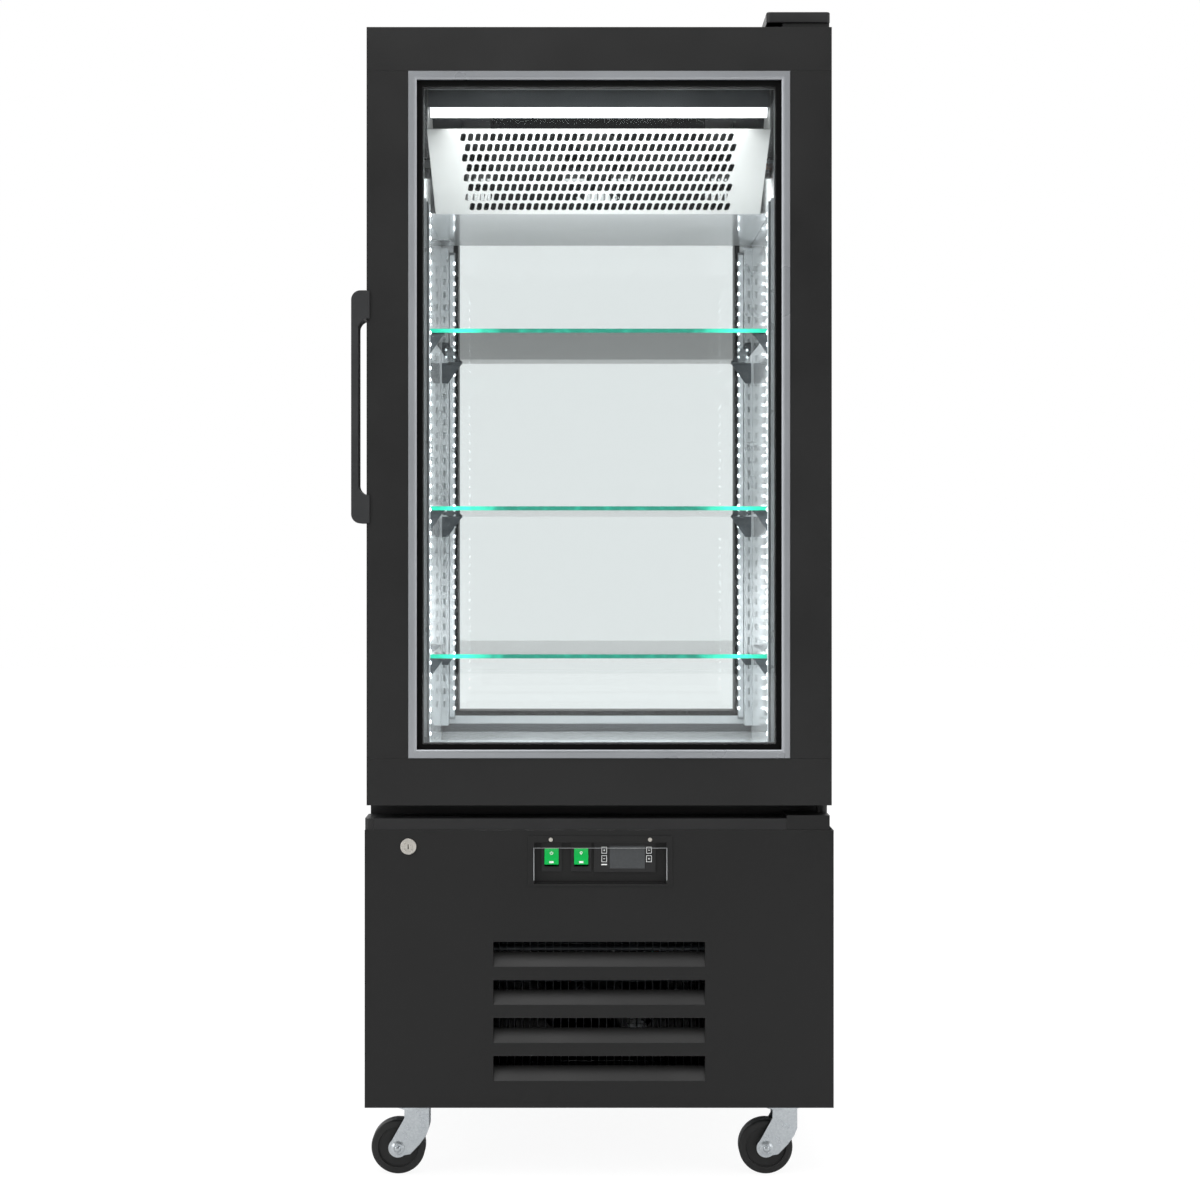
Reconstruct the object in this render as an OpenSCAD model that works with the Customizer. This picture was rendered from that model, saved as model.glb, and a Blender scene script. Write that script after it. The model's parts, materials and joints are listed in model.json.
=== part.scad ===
// Upright glass-door refrigerator on swivel casters.
// The front faces -Y, +X is to the right of a person facing it, and z = 0 is the floor.

/* [Cabinet] */
// Width of the base cabinet
body_w = 600; // [520:5:720]
// Depth of the cabinet, door included
body_d = 600; // [540:5:720]
// Height of the roof above the floor
body_h = 1486; // [1400:2:1780]
// Height of the base cabinet's underside above the floor
caster_h = 98; // [92:1:110]
// Height of the base cabinet
base_h = 355; // [320:1:426]
// Thickness of the insulated side walls
wall_t = 60; // [50:1:72]
// Thickness of the insulated floor
floor_t = 80; // [60:1:96]
// Thickness of the insulated roof
roof_t = 66; // [50:1:80]
// Thickness of the sheet-metal panels
sheet_t = 1.2; // [0.8:0.1:2]

/* [Door] */
// Gap between the base cabinet's top and the door
door_lift = 31.5; // [26:0.5:38]
// Gap between the door's top and the roof level
door_top_gap = 6; // [4:0.5:10]
// Thickness of the door frame
door_t = 45; // [38:1:54]
// Distance from the door's back to the cabinet's face
gasket_space = 8; // [6:0.5:12]
// Width of the door's upright frame members
stile_w = 53; // [44:1:64]
// Height of the door's top member
top_rail_h = 56; // [46:1:66]
// Height of the door's bottom member
bottom_rail_h = 60; // [50:1:72]
// Width of the bright bead around the glass
bead_w = 10.6; // [8:0.2:14]
// Width of the black border on the door glass
glass_border = 7; // [5:0.5:12]
// Thickness of one glass pane
pane_t = 4; // [3:0.5:6]
// Thickness of a double-glazed unit
glass_unit_t = 22; // [16:1:28]
// Diameter of the hinge pins
hinge_pin_d = 8; // [6:0.5:10]
// Distance from the hinge axis to the door's edge
hinge_inset = 9.5; // [9:0.5:12]

/* [Handle] */
// Length of the handle
handle_l = 298; // [240:2:360]
// Distance that the handle stands out from the door's edge
handle_out = 19.5; // [17:0.5:28]
// Depth of the handle from front to back
handle_d = 30; // [24:1:36]
// Thickness of the grip
grip_t = 8.7; // [7:0.1:12]
// Height of the handle's centre above the floor
handle_z = 994; // [900:2:1100]

/* [Shelves] */
// Slot that carries the lowest shelf, counted up from the bottom
shelf_1 = 4; // [3:1:7]
// Slot that carries the middle shelf
shelf_2 = 14; // [11:1:18]
// Slot that carries the highest shelf
shelf_3 = 26; // [22:1:28]
// Thickness of the glass shelves
shelf_t = 5.5; // [4:0.5:8]
// Pitch of the slots in the uprights
slot_pitch = 19.5; // [18:0.5:20]

/* [Front panel] */
// Width of the louvres
louvre_w = 271; // [200:1:340]
// Height of one louvre opening
louvre_h = 32; // [26:1:36]
// Distance between louvres
louvre_pitch = 48.7; // [44:0.5:54]
// Number of louvres
louvre_n = 4; // [2:1:4]
// Width of the control tray
tray_w = 185; // [170:1:210]
// Height of the control tray
tray_h = 64; // [58:1:72]

/* [Casters] */
// Diameter of the caster wheels
wheel_d = 70; // [60:1:72]
// Width of the caster wheels
wheel_w = 24; // [20:1:28]
// Distance from the swivel axis to the axle
caster_trail = 22; // [18:1:26]
// Distance from the cabinet's sides to the swivel axes
caster_inset = 61; // [58:1:80]

/* [Hidden] */
$fn = 48;

// Clearances
seat = 0.3;        // pieces that move against each other, or curved faces
joint_gap = 0.2;   // butt joints between the bars of one frame
pin_clear = 0.05;  // radial running fit of pins and axles

// Cabinet planes
half_w = body_w / 2;
front_y = -body_d / 2;
back_y = body_d / 2;
base_bottom = caster_h;
base_top = caster_h + base_h;
floor_z = base_top + floor_t;
ceiling_z = body_h - roof_t;

// Upper cabinet
skin_half = half_w - 2.5;
liner_half = skin_half - wall_t;
liner_t = 1;
face_y = front_y + door_t + gasket_space;
face_t = 15;
frame_back_y = face_y + face_t;
rear_frame_t = 30;
rear_pane_y = back_y - rear_frame_t - glass_unit_t;
ledge_h = 14.5;
face_bottom = base_top + seat;

// Door
door_half = half_w - 2.5;
door_z0 = base_top + door_lift;
door_z1 = body_h - door_top_gap;
door_back_y = front_y + door_t;
open_half = door_half - stile_w;
open_z0 = door_z0 + bottom_rail_h;
open_z1 = door_z1 - top_rail_h;
bead_proud = 1.5;
bead_t = 6;
door_pane_y = front_y - bead_proud + bead_t;
hinge_x = door_half - hinge_inset;
hinge_y = front_y + 36;
bush_r = 6;
bush_l = 24;
pin_r = hinge_pin_d / 2;

// Whole object centred on its own footprint
handle_lip_t = 3;
handle_screw_h = 0.8;
gland_out = 14;
shift_x = (door_half + handle_out + handle_screw_h - half_w) / 2;
shift_y = (handle_lip_t - gland_out) / 2;

module placed() translate([shift_x, shift_y, 0]) children();

// A box given by its two corners
module span(a, b) translate(a) cube([b[0] - a[0], b[1] - a[1], b[2] - a[2]]);

// Four butted bars around an opening in the XZ plane.
// w: width of the bars, as [sides, bottom, top]
module bars(x0, x1, z0, z1, y0, y1, w) {
    span([x0, y0, z0], [x1, y1, z0 + w[1]]);
    span([x0, y0, z1 - w[2]], [x1, y1, z1]);
    for (x = [x0, x1 - w[0]])
        span([x, y0, z0 + w[1] + joint_gap], [x + w[0], y1, z1 - w[2] - joint_gap]);
}

// A rectangle with true round corners
module round_rect(w, h, r) {
    square([w - 2 * r, h], center = true);
    square([w, h - 2 * r], center = true);
    for (x = [-1, 1], y = [-1, 1]) translate([x * (w / 2 - r), y * (h / 2 - r)]) circle(r);
}

// A cylinder along Y from y0 to y1
module rod_y(x, z, r, y0, y1) translate([x, y0, z]) rotate([-90, 0, 0]) cylinder(r = r, h = y1 - y0);

// An outline drawn in XZ, extruded from y0 to y1
module slab_xz(y0, y1) translate([0, y1, 0]) rotate([90, 0, 0]) linear_extrude(y1 - y0) children();

// ---------- Base cabinet ----------

pan_lip = 18;
return_w = 16;
deck_y0 = face_y;

// Floor pan and deck of the machine compartment
module base_plates() color("dimgray") placed() {
    side = half_w - sheet_t;
    difference() {
        union() {
            span([-side, front_y + sheet_t, base_bottom], [side, back_y - sheet_t, base_bottom + sheet_t]);
            for (y = [front_y + sheet_t, back_y - 2 * sheet_t])
                span([-side, y, base_bottom], [side, y + sheet_t, base_bottom + pan_lip]);
        }
        for (x = [-1, 1], y = [-1, 1], i = [-1, 1], j = [-1, 1])
            translate([x * caster_x + i * plate_hole_x / 2, y * caster_y + j * plate_hole_y / 2,
                       base_bottom - 1]) cylinder(r = bolt_r + 0.3, h = 4);
    }
    difference() {
        span([-side, deck_y0, base_top - sheet_t], [side, back_y - sheet_t, base_top]);
        translate([drain_x, drain_y, base_top - 2 * sheet_t]) cylinder(r = drain_r + 1, h = 4 * sheet_t);
        translate([pipe_x, pipe_y, base_top - 2 * sheet_t]) cylinder(r = pipe_bore_r, h = 4 * sheet_t);
    }
}

module base_side(s) {
    outer = half_w;
    y0 = front_y + sheet_t;
    y1 = back_y - sheet_t;
    z0 = base_bottom + pan_lip + 1;
    z1 = base_top - sheet_t - 1;
    mirror([s < 0 ? 1 : 0, 0, 0]) {
        span([outer - sheet_t, y0, base_bottom], [outer, y1, base_top]);
        for (y = [y0, y1 - sheet_t])
            span([outer - return_w, y, z0], [outer - sheet_t / 2, y + sheet_t, z1]);
    }
}

// Side panels of the machine compartment
module base_side_panels() color("#262626") placed() for (s = [-1, 1]) base_side(s);

louvre_top = 212;       // top of the highest louvre above the base's underside
louvre_gap = 15.2;      // clear height above each blade
louvre_depth = 15;
blade_t = 1.6;

function louvre_z(i) = base_bottom + louvre_top - i * louvre_pitch - louvre_h;

// One sloping blade with its two end cheeks, open at the top
module louvre_blade(z) {
    rise = louvre_h - louvre_gap;
    for (x = [-louvre_w / 2 - blade_t, louvre_w / 2])
        translate([x, 0, 0]) rotate([90, 0, 90]) linear_extrude(blade_t)
            polygon([[front_y + sheet_t / 2, z], [front_y + louvre_depth, z + rise],
                     [front_y + louvre_depth, z + louvre_h], [front_y + sheet_t / 2, z + louvre_h]]);
    translate([-louvre_w / 2 - blade_t / 2, 0, 0]) rotate([90, 0, 90]) linear_extrude(louvre_w + blade_t)
        polygon([[front_y + sheet_t / 2, z - blade_t], [front_y + sheet_t / 2, z],
                 [front_y + louvre_depth, z + rise], [front_y + louvre_depth, z + rise - blade_t]]);
}

tray_x = 1.5;
tray_z = base_top - 39.5;
tray_flange = 8;
tray_top_flange = 8.5;
pocket_w = tray_w - 2 * tray_flange;
pocket_z1 = tray_z + tray_h / 2 - tray_top_flange;
pocket_z0 = tray_z - tray_h / 2 + 2.5;
pocket_depth = 9;

lock_x = -half_w + 56;
lock_z = base_top - 21;
lock_barrel_r = 5.5;
lock_body_r = 8.5;
lock_face_r = 10.2;

// Front panel with its louvres, lock hole and control cut-out
module base_front_panel() color("#282828") placed() {
    difference() {
        span([-half_w, front_y, base_bottom - 0.4], [half_w, front_y + sheet_t, base_top]);
        for (i = [0 : louvre_n - 1])
            span([-louvre_w / 2, front_y - 1, louvre_z(i)],
                 [louvre_w / 2, front_y + sheet_t + 1, louvre_z(i) + louvre_h]);
        rod_y(lock_x, lock_z, lock_body_r + seat, front_y - 1, front_y + sheet_t + 1);
        span([tray_x - pocket_w / 2 - sheet_t - seat, front_y - 1, pocket_z0 - sheet_t - seat],
             [tray_x + pocket_w / 2 + sheet_t + seat, front_y + sheet_t + 1, pocket_z1 + sheet_t + seat]);
    }
    for (i = [0 : louvre_n - 1]) louvre_blade(louvre_z(i));
}

grille_slot_w = 62;
grille_slot_h = 6;
gland_x = half_w - 60;
gland_z = base_bottom + 45;
gland_thread_r = 10;

// Slotted back panel of the machine compartment
module base_rear_grille() color("#262626") placed() difference() {
    span([-half_w, back_y - sheet_t, base_bottom], [half_w, back_y, base_top]);
    for (i = [-2 : 2], j = [0 : 9])
        span([i * 80 - grille_slot_w / 2, back_y - 2 * sheet_t, base_bottom + 100 + j * 22],
             [i * 80 + grille_slot_w / 2, back_y + 1, base_bottom + 100 + j * 22 + grille_slot_h]);
    rod_y(gland_x, gland_z, gland_thread_r + pin_clear, back_y - 2 * sheet_t, back_y + 1);
}

cap_w = 11;
cam_l = 60;
cam_w = 12;
cam_t = 2;
cam_y = front_y + 17;

// Black strip on top of the base, with its rounded end cap
module front_ledge() color("#1e1e1e") placed() {
    y0 = front_y + 1;
    z1 = base_top + ledge_h;
    difference() {
        span([-half_w + cap_w + joint_gap, y0, base_top], [hinge_block_x0 - joint_gap, face_y - seat, z1]);
        span([lock_x - cam_w / 2 - 4, cam_y - 3, base_top - 1],
             [lock_x + cam_l + 6, cam_y + cam_t + 3, z1 + 1]);
    }
    translate([-half_w + cap_w, 0, base_top]) union() {
        span([-cap_w + 6, y0, 0], [0, face_y - seat, ledge_h]);
        span([-cap_w, y0 + 6, 0], [-cap_w + 6, face_y - seat, ledge_h]);
        translate([-cap_w + 6, y0 + 6, 0]) cylinder(r = 6, h = ledge_h);
    }
}

// ---------- Upper cabinet ----------

face_side = skin_half - liner_half;

// Four bars that close the foam behind the door
module front_frame() color("#2b2b2b") placed()
    bars(-skin_half, skin_half, face_bottom, body_h, face_y, frame_back_y,
         [face_side, floor_z - face_bottom, body_h - ceiling_z]);

// Outer side sheets, between the front and rear frames
module cabinet_side_skins() color("#262626") placed() for (s = [-1, 1])
    span([s < 0 ? -skin_half : skin_half - sheet_t, frame_back_y, base_top],
         [s < 0 ? -skin_half + sheet_t : skin_half, back_y - rear_frame_t, body_h - sheet_t]);

// Insulation of the two sides, the floor and the roof
module wall_foam() color("khaki") placed() difference() {
    union() {
        y0 = frame_back_y + seat;
        y1 = back_y - rear_frame_t - seat;
        inner = liner_half + liner_t + seat;
        outer = skin_half - sheet_t - seat;
        for (s = [-1, 1])
            span([s < 0 ? -outer : inner, y0, base_top + seat],
                 [s < 0 ? -inner : outer, y1, body_h - sheet_t - seat]);
        span([-inner + 2 * seat, y0, base_top + seat], [inner - 2 * seat, y1, floor_z - liner_t - seat]);
        span([-inner + 2 * seat, y0, ceiling_z + liner_t + seat],
             [inner - 2 * seat, y1, body_h - sheet_t - seat]);
    }
    drain_route(drain_r + 1.5);
    pipe_route(pipe_bore_r);
}

evap_floor_z = ceiling_z - 141;
cover_front_z = ceiling_z - 57;
cover_front_y = face_y + 17;
cover_back_y = cover_front_y + 167;
cover_half = liner_half - 12;
evap_tray_y1 = rear_pane_y - 12;

// Polished lining: two sides, floor, ceiling and the tray under the evaporator
module interior_liner() color("#c9cdd0") placed() difference() {
    union() {
        y0 = frame_back_y;
        y1 = back_y - rear_frame_t;
        for (s = [-1, 1])
            span([s < 0 ? -liner_half - liner_t : liner_half, y0, floor_z - liner_t],
                 [s < 0 ? -liner_half : liner_half + liner_t, y1, ceiling_z + liner_t]);
        span([-liner_half + joint_gap, y0, floor_z - liner_t], [liner_half - joint_gap, y1, floor_z]);
        span([-liner_half + joint_gap, y0, ceiling_z], [liner_half - joint_gap, y1, ceiling_z + liner_t]);
        span([-liner_half + joint_gap, cover_back_y + 1, evap_floor_z],
             [liner_half - joint_gap, evap_tray_y1, evap_floor_z + 1.5]);
    }
    drain_route(drain_r + 1);
    pipe_route(pipe_bore_r);
}

roof_split_y = frame_back_y + 60;

// Roof sheet, with a separate front strip that carries the hinge
module roof_cover() color("#262626") placed() {
    span([-skin_half, frame_back_y, body_h - sheet_t], [skin_half, roof_split_y - joint_gap, body_h]);
    span([-skin_half, roof_split_y, body_h - sheet_t], [skin_half, back_y, body_h]);
}

rear_glass_z0 = floor_z + 13;
rear_glass_z1 = ceiling_z - 8;
rear_unit_half = liner_half - 0.5;
rear_trim_w = [17, 12, 12];
rear_border_w = 7;
rear_open_half = 220 - rear_border_w;

// Outer frame that holds the rear glass
module rear_frame() color("#262626") placed()
    bars(-skin_half, skin_half, base_top, body_h - sheet_t, back_y - rear_frame_t, back_y,
         [skin_half - rear_open_half, rear_glass_z0 + 19 - base_top, body_h - sheet_t - rear_glass_z1 + 19]);

// Inner and outer panes of the rear window
module rear_glass() color([0.8, 0.92, 0.9, 0.35]) placed()
    for (y = [rear_pane_y, rear_pane_y + glass_unit_t - pane_t])
        span([-rear_unit_half, y, rear_glass_z0], [rear_unit_half, y + pane_t, rear_glass_z1]);

// Black spacer between the rear panes
module rear_spacer() color("#202428") placed()
    bars(-rear_unit_half, rear_unit_half, rear_glass_z0, rear_glass_z1,
         rear_pane_y + pane_t + 0.1, rear_pane_y + glass_unit_t - pane_t - 0.1,
         [rear_trim_w[0] + rear_border_w, rear_trim_w[1] + rear_border_w, rear_trim_w[2] + rear_border_w]);

// Bright trim around the rear window, and the dark sill under it
module rear_trim() color("#b9bdc0") placed() {
    bars(-rear_unit_half, rear_unit_half, rear_glass_z0, rear_glass_z1,
         rear_pane_y - 3, rear_pane_y - 0.1, rear_trim_w);
    span([-rear_unit_half, rear_pane_y - 3.9, floor_z + 0.1],
         [rear_unit_half, back_y - rear_frame_t, rear_glass_z0 - 0.2]);
}

upright_w = 11.5;
upright_d = 25;
upright_z0 = floor_z + 12;
upright_z1 = evap_floor_z - 6;
slot_first = 28.5;
slot_w = 3.2;
slot_h = 9;
slot_depth = 6;
slot_x = liner_half - 5.5;
front_upright_y = frame_back_y + 1;
rear_upright_y = rear_pane_y - 4;

// Places a corner piece at all four corners; drawn for the right front corner
module at_corners() for (sx = [0, 1], sy = [0, 1])
    mirror([sx, 0, 0]) translate([0, sy * (front_upright_y + rear_upright_y), 0]) mirror([0, sy, 0]) children();

// Slotted uprights in the four corners
module corner_uprights() color("#c2c6c9") placed() at_corners() difference() {
    span([liner_half - upright_w, front_upright_y, upright_z0],
         [liner_half - 0.1, front_upright_y + upright_d, upright_z1]);
    for (n = [0 : floor((upright_z1 - upright_z0 - slot_first - 20) / slot_pitch)])
        span([slot_x - slot_w / 2, front_upright_y + upright_d - slot_depth, slot_z(n)],
             [slot_x + slot_w / 2, front_upright_y + upright_d + 1, slot_z(n) + slot_h]);
}

bracket_t = 2;
bracket_reach = 31;
bracket_h = 31;
bracket_y = front_upright_y + upright_d + 0.1;
tab_drop = 8;

// Height of a slot, and of the underside of the shelf that it carries
function slot_z(n) = upright_z0 + slot_first + n * slot_pitch;
function shelf_under(n) = slot_z(n) + slot_h + tab_drop;

module bracket(n) {
    x1 = liner_half - 2;
    x0 = x1 - bracket_reach;
    top = shelf_under(n) - 0.1;
    slab_xz(bracket_y, bracket_y + bracket_t)
        polygon([[x0, top], [x1, top], [x1, top - bracket_h], [x1 - 9, top - bracket_h]]);
    span([x0, bracket_y, top - bracket_t], [liner_half - upright_w - 0.1, bracket_y + 15, top]);
    span([slot_x - 1, bracket_y - slot_depth + 1, slot_z(n) + 1], [slot_x + 1, bracket_y + 0.5, slot_z(n) + slot_h - 1]);
}

// Steel brackets hooked into the uprights, four to a shelf
module shelf_brackets() color("#6a6f73") placed()
    for (n = [shelf_1, shelf_2, shelf_3]) at_corners() bracket(n);

shelf_half = liner_half - 13;
shelf_y0 = bracket_y - 13;
shelf_y1 = rear_pane_y - 18;

module shelf(n) color([0.75, 0.95, 0.9, 0.35]) placed()
    span([-shelf_half, shelf_y0, shelf_under(n)], [shelf_half, shelf_y1, shelf_under(n) + shelf_t]);

module shelf_top() shelf(shelf_3);
module shelf_middle() shelf(shelf_2);
module shelf_bottom() shelf(shelf_1);

// ---------- Light ----------

led_w = 9;
led_t = 4;
led_z0 = floor_z + 20;
led_z1 = evap_floor_z - 10;
lamp_half = liner_half - 14;
lamp_y = frame_back_y + 1;
lamp_d = 26;
lamp_h = 28;

// A strip channel standing at x0, open towards the middle of the cabinet
module corner_channel() span([liner_half - upright_w - led_w - 0.1, rear_upright_y - led_t, led_z0],
                             [liner_half - upright_w - 0.1, rear_upright_y + 0.9, led_z1]);

module front_channel() span([liner_half - upright_w - 3.1, front_upright_y + 1.5, led_z0],
                            [liner_half - upright_w - 0.1, front_upright_y + 1.5 + led_w, led_z1]);

// Aluminium channels of the corner strips and the top lamp
module led_channels() color("silver") placed() {
    for (s = [0, 1]) mirror([s, 0, 0]) {
        corner_channel();
        front_channel();
    }
    span([-lamp_half, lamp_y, ceiling_z - lamp_h], [lamp_half, lamp_y + lamp_d, ceiling_z - 0.1]);
}

// Light strips seated on their channels
module led_diffusers() color("white") placed() {
    for (s = [0, 1]) mirror([s, 0, 0]) {
        span([liner_half - upright_w - led_w + 1, rear_upright_y - led_t - 1.2, led_z0 + 4],
             [liner_half - upright_w - 1, rear_upright_y - led_t - 0.1, led_z1 - 4]);
        span([liner_half - upright_w - 4.3, front_upright_y + 2.5, led_z0 + 4],
             [liner_half - upright_w - 3.2, front_upright_y + 0.5 + led_w, led_z1 - 4]);
    }
    translate([-lamp_half + 2, lamp_y + lamp_d / 2, ceiling_z - lamp_h - 0.1]) rotate([0, 90, 0])
        intersection() {
            cylinder(r = 11, h = 2 * lamp_half - 4);
            translate([0, -11, 0]) cube([11, 22, 2 * lamp_half - 4]);
        }
}

// ---------- Cold side ----------

cover_t = 1.2;
vent_rows = 8;
vent_pitch = 9.8;
vent_cols = floor((2 * cover_half - 88) / vent_pitch);
vent_w = 6.9;
vent_l = 18;
cover_run = cover_back_y - cover_front_y;
cover_drop = cover_front_z - evap_floor_z;
cover_slope = sqrt(cover_run * cover_run + cover_drop * cover_drop);
cover_tilt = atan2(cover_drop, cover_run);

// One slanted oblong vent
module vent() rotate([0, 0, 9]) {
    square([vent_w, vent_l - vent_w], center = true);
    for (s = [-1, 1]) translate([0, s * (vent_l - vent_w) / 2]) circle(d = vent_w, $fn = 16);
}

// Sloping perforated cover under the evaporator, with folded ends
module evaporator_cover() color("#d6d7d6") placed() {
    translate([0, cover_front_y, cover_front_z]) rotate([-cover_tilt, 0, 0])
        linear_extrude(cover_t) difference() {
            translate([-cover_half, 0]) square([2 * cover_half, cover_slope]);
            for (i = [0 : vent_cols - 1], j = [0 : vent_rows - 1])
                translate([(i - (vent_cols - 1) / 2) * vent_pitch + (j % 2 - 0.5) * vent_pitch / 2,
                           cover_slope / 2 + (j - (vent_rows - 1) / 2) * (cover_slope - 12) / vent_rows]) vent();
        }
    for (x = [-cover_half, cover_half - cover_t])
        translate([x, 0, 0]) rotate([90, 0, 90]) linear_extrude(cover_t)
            polygon([[cover_front_y + 2, cover_front_z - 0.5], [cover_back_y - 1, evap_floor_z + 1],
                     [cover_back_y - 1, evap_floor_z + 30], [cover_front_y + 60, ceiling_z - 0.1],
                     [cover_front_y + 2, ceiling_z - 0.1]]);
}

coil_w = 2 * liner_half - 95;
coil_y0 = cover_back_y + 72;
coil_d = 90;
coil_h = 88;
coil_z0 = evap_floor_z + 14;
fin_pitch = 9.5;
fin_t = 0.6;

module finned_block(w, d, h, pitch, tube_r, rows, levels) {
    for (x = [0 : pitch : w]) span([x - w / 2, 0, 0], [x - w / 2 + fin_t, d, h]);
    for (j = [0 : rows - 1], k = [0 : levels - 1])
        translate([-w / 2 - 6, (j + 0.5) * d / rows, (k + 0.5) * h / levels])
            rotate([0, 90, 0]) cylinder(r = tube_r, h = w + 12, $fn = 24);
}

// Finned evaporator on two end plates that hang from the ceiling
module evaporator_coil() color("#b8bcbe") placed() translate([0, coil_y0, coil_z0]) {
    finned_block(coil_w, coil_d, coil_h, fin_pitch, 5, 2, 3);
    for (x = [-coil_w / 2 - 4, coil_w / 2 + 2.5])
        span([x, 0, 0], [x + 1.5, coil_d, ceiling_z - coil_z0 - 0.1]);
}

evap_fan_y = cover_back_y + 18;
evap_fan_z = evap_floor_z + 66;
evap_fan_r = 48;
cond_fan_y = front_y + 150;
cond_fan_z = base_bottom + 140;
cond_fan_r = 92;
shaft_r = 3;

// Shroud plate, motor and shaft; the blade turns in front of it
module fan_unit(ring_r, plate_w, plate_z0, plate_z1, motor_r, motor_l) {
    plate_t = 1.5;
    difference() {
        span([-plate_w / 2, -plate_t, plate_z0], [plate_w / 2, 0, plate_z1]);
        rod_y(0, 0, ring_r + 3, -2 * plate_t, 1);
    }
    rod_y(0, 0, motor_r, 22, 22 + motor_l);
    rod_y(0, 0, shaft_r, -8, 22.5);
    for (a = [0, 90]) rotate([0, a + 45, 0])
        span([-ring_r - 8, 24, -4], [ring_r + 8, 26, 4]);
    for (a = [45 : 90 : 315]) rotate([0, a, 0]) span([ring_r + 5, -0.5, -4], [ring_r + 8, 26, 4]);
}

// Motors of both fans with their shroud plates
module fan_motors() color("#3a3d40") placed() {
    translate([0, evap_fan_y, evap_fan_z])
        fan_unit(evap_fan_r, 300, evap_floor_z + 2 - evap_fan_z, ceiling_z - 0.1 - evap_fan_z, 20, 24);
    translate([0, cond_fan_y, cond_fan_z])
        fan_unit(cond_fan_r, 300, base_bottom + sheet_t + 0.1 - cond_fan_z, 130, 34, 50);
}

// Axial blade wheel on a hub, turning about Y
module fan_blade(r, hub_r, n) difference() {
    union() {
        rod_y(0, 0, hub_r, 2, 16);
        for (i = [0 : n - 1]) rotate([0, i * 360 / n, 0]) translate([hub_r - 2, 9, 0])
            rotate([28, 0, 0]) linear_extrude(2, center = true) intersection() {
                translate([0, -6]) square([r - hub_r, 12]);
                translate([2 - hub_r, 0]) circle(r = r - 1);
            }
    }
    rod_y(0, 0, shaft_r + pin_clear, 0, 20);
}

module evaporator_fan() color("#2c2f31") placed()
    translate([0, evap_fan_y, evap_fan_z]) fan_blade(evap_fan_r, 16, 6);

module condenser_fan() color("#2c2f31") placed()
    translate([0, cond_fan_y, cond_fan_z]) fan_blade(cond_fan_r, 24, 5);

drain_r = 8;
drain_x = -liner_half - wall_t / 2;
drain_y = back_y - 120;
drain_z = evap_floor_z + 8;
pan_z = base_bottom + sheet_t + 0.2;
pipe_x = liner_half + wall_t / 2;
pipe_y = back_y - 120;
pipe_z = ceiling_z - 30;
pipe_bore_r = 14;

// Way of the drain through the left wall
module drain_route(r) {
    translate([drain_x, drain_y, pan_z + 30]) cylinder(r = r, h = drain_z - pan_z - 30 + r / 2);
    translate([drain_x, drain_y, drain_z]) rotate([0, 90, 0]) cylinder(r = r, h = wall_t / 2 + 18);
}

// Way of the refrigerant pipes through the right wall
module pipe_route(r) {
    translate([pipe_x, pipe_y, base_top - 5]) cylinder(r = r, h = pipe_z - base_top + 5 + r);
    translate([pipe_x - wall_t / 2 - 20, pipe_y, pipe_z]) rotate([0, 90, 0]) cylinder(r = r, h = wall_t / 2 + 20);
}

// Drain tube and the evaporation pan under it
module drain_set() color("#d8dadb") placed() {
    difference() {
        drain_route(drain_r);
        drain_route(drain_r - 1.5);
    }
    translate([drain_x + 20, drain_y, pan_z]) {
        difference() {
            span([-34, -90, 12], [100, 90, 46]);
            span([-32, -88, 14], [98, 88, 48]);
        }
        for (x = [-10, 80], y = [-74, 0]) translate([x, y, 0]) cylinder(r = 6, h = 12.1);
    }
}

// ---------- Machine compartment ----------

comp_x = drain_x + 227.5;
comp_y = back_y - 150;
suction_r = 4.8;
liquid_r = 3.2;

// Hermetic compressor on its foot plate, with a port for each pipe
module compressor() color("#1c1d1f") placed() translate([comp_x, comp_y, pan_z]) {
    span([-85, -60, 12], [85, 60, 15]);
    for (x = [-70, 70], y = [-48, 48]) translate([x, y, 0]) cylinder(r = 9, h = 12.2);
    translate([0, 0, 15]) rotate_extrude() polygon([[0, 0], [48, 0], [60, 12], [62, 24], [62, 92],
                                                     [58, 112], [46, 128], [26, 136], [0, 138]]);
    span([52, -24, 40], [78, 24, 88]);
    translate([50, 0, 98]) rotate([0, 90, 0]) cylinder(r = suction_r + 1.6, h = 11.95);
    translate([0, -50, 90]) rotate([90, 0, 0]) cylinder(r = liquid_r + 1.6, h = 15.15);
}

cond_w = 300;
cond_y0 = front_y + 48;
cond_d = 60;
cond_h = 200;

// Condenser behind the louvres
module condenser_coil() color("#4a4d50") placed() translate([0, cond_y0, pan_z]) {
    translate([0, 0, 12]) finned_block(cond_w, cond_d, cond_h, 10, 4.6, 2, 5);
    for (x = [-cond_w / 2 - 4, cond_w / 2 + 2.5]) span([x, 0, 0], [x + 1.5, cond_d, cond_h + 20]);
}

// A straight pipe between two points
module pipe(a, b, r) {
    d = b - a;
    l = norm(d);
    translate(a) rotate([0, acos(d[2] / l), atan2(d[1], d[0])]) cylinder(r = r, h = l, $fn = 24);
}

// A run of pipes with a slightly swollen elbow at each bend
module pipe_run(points, r) {
    for (i = [0 : len(points) - 2]) pipe(points[i], points[i + 1], r);
    for (i = [1 : len(points) - 2]) translate(points[i]) sphere(r = r * 1.12, $fn = 24);
}

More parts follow.
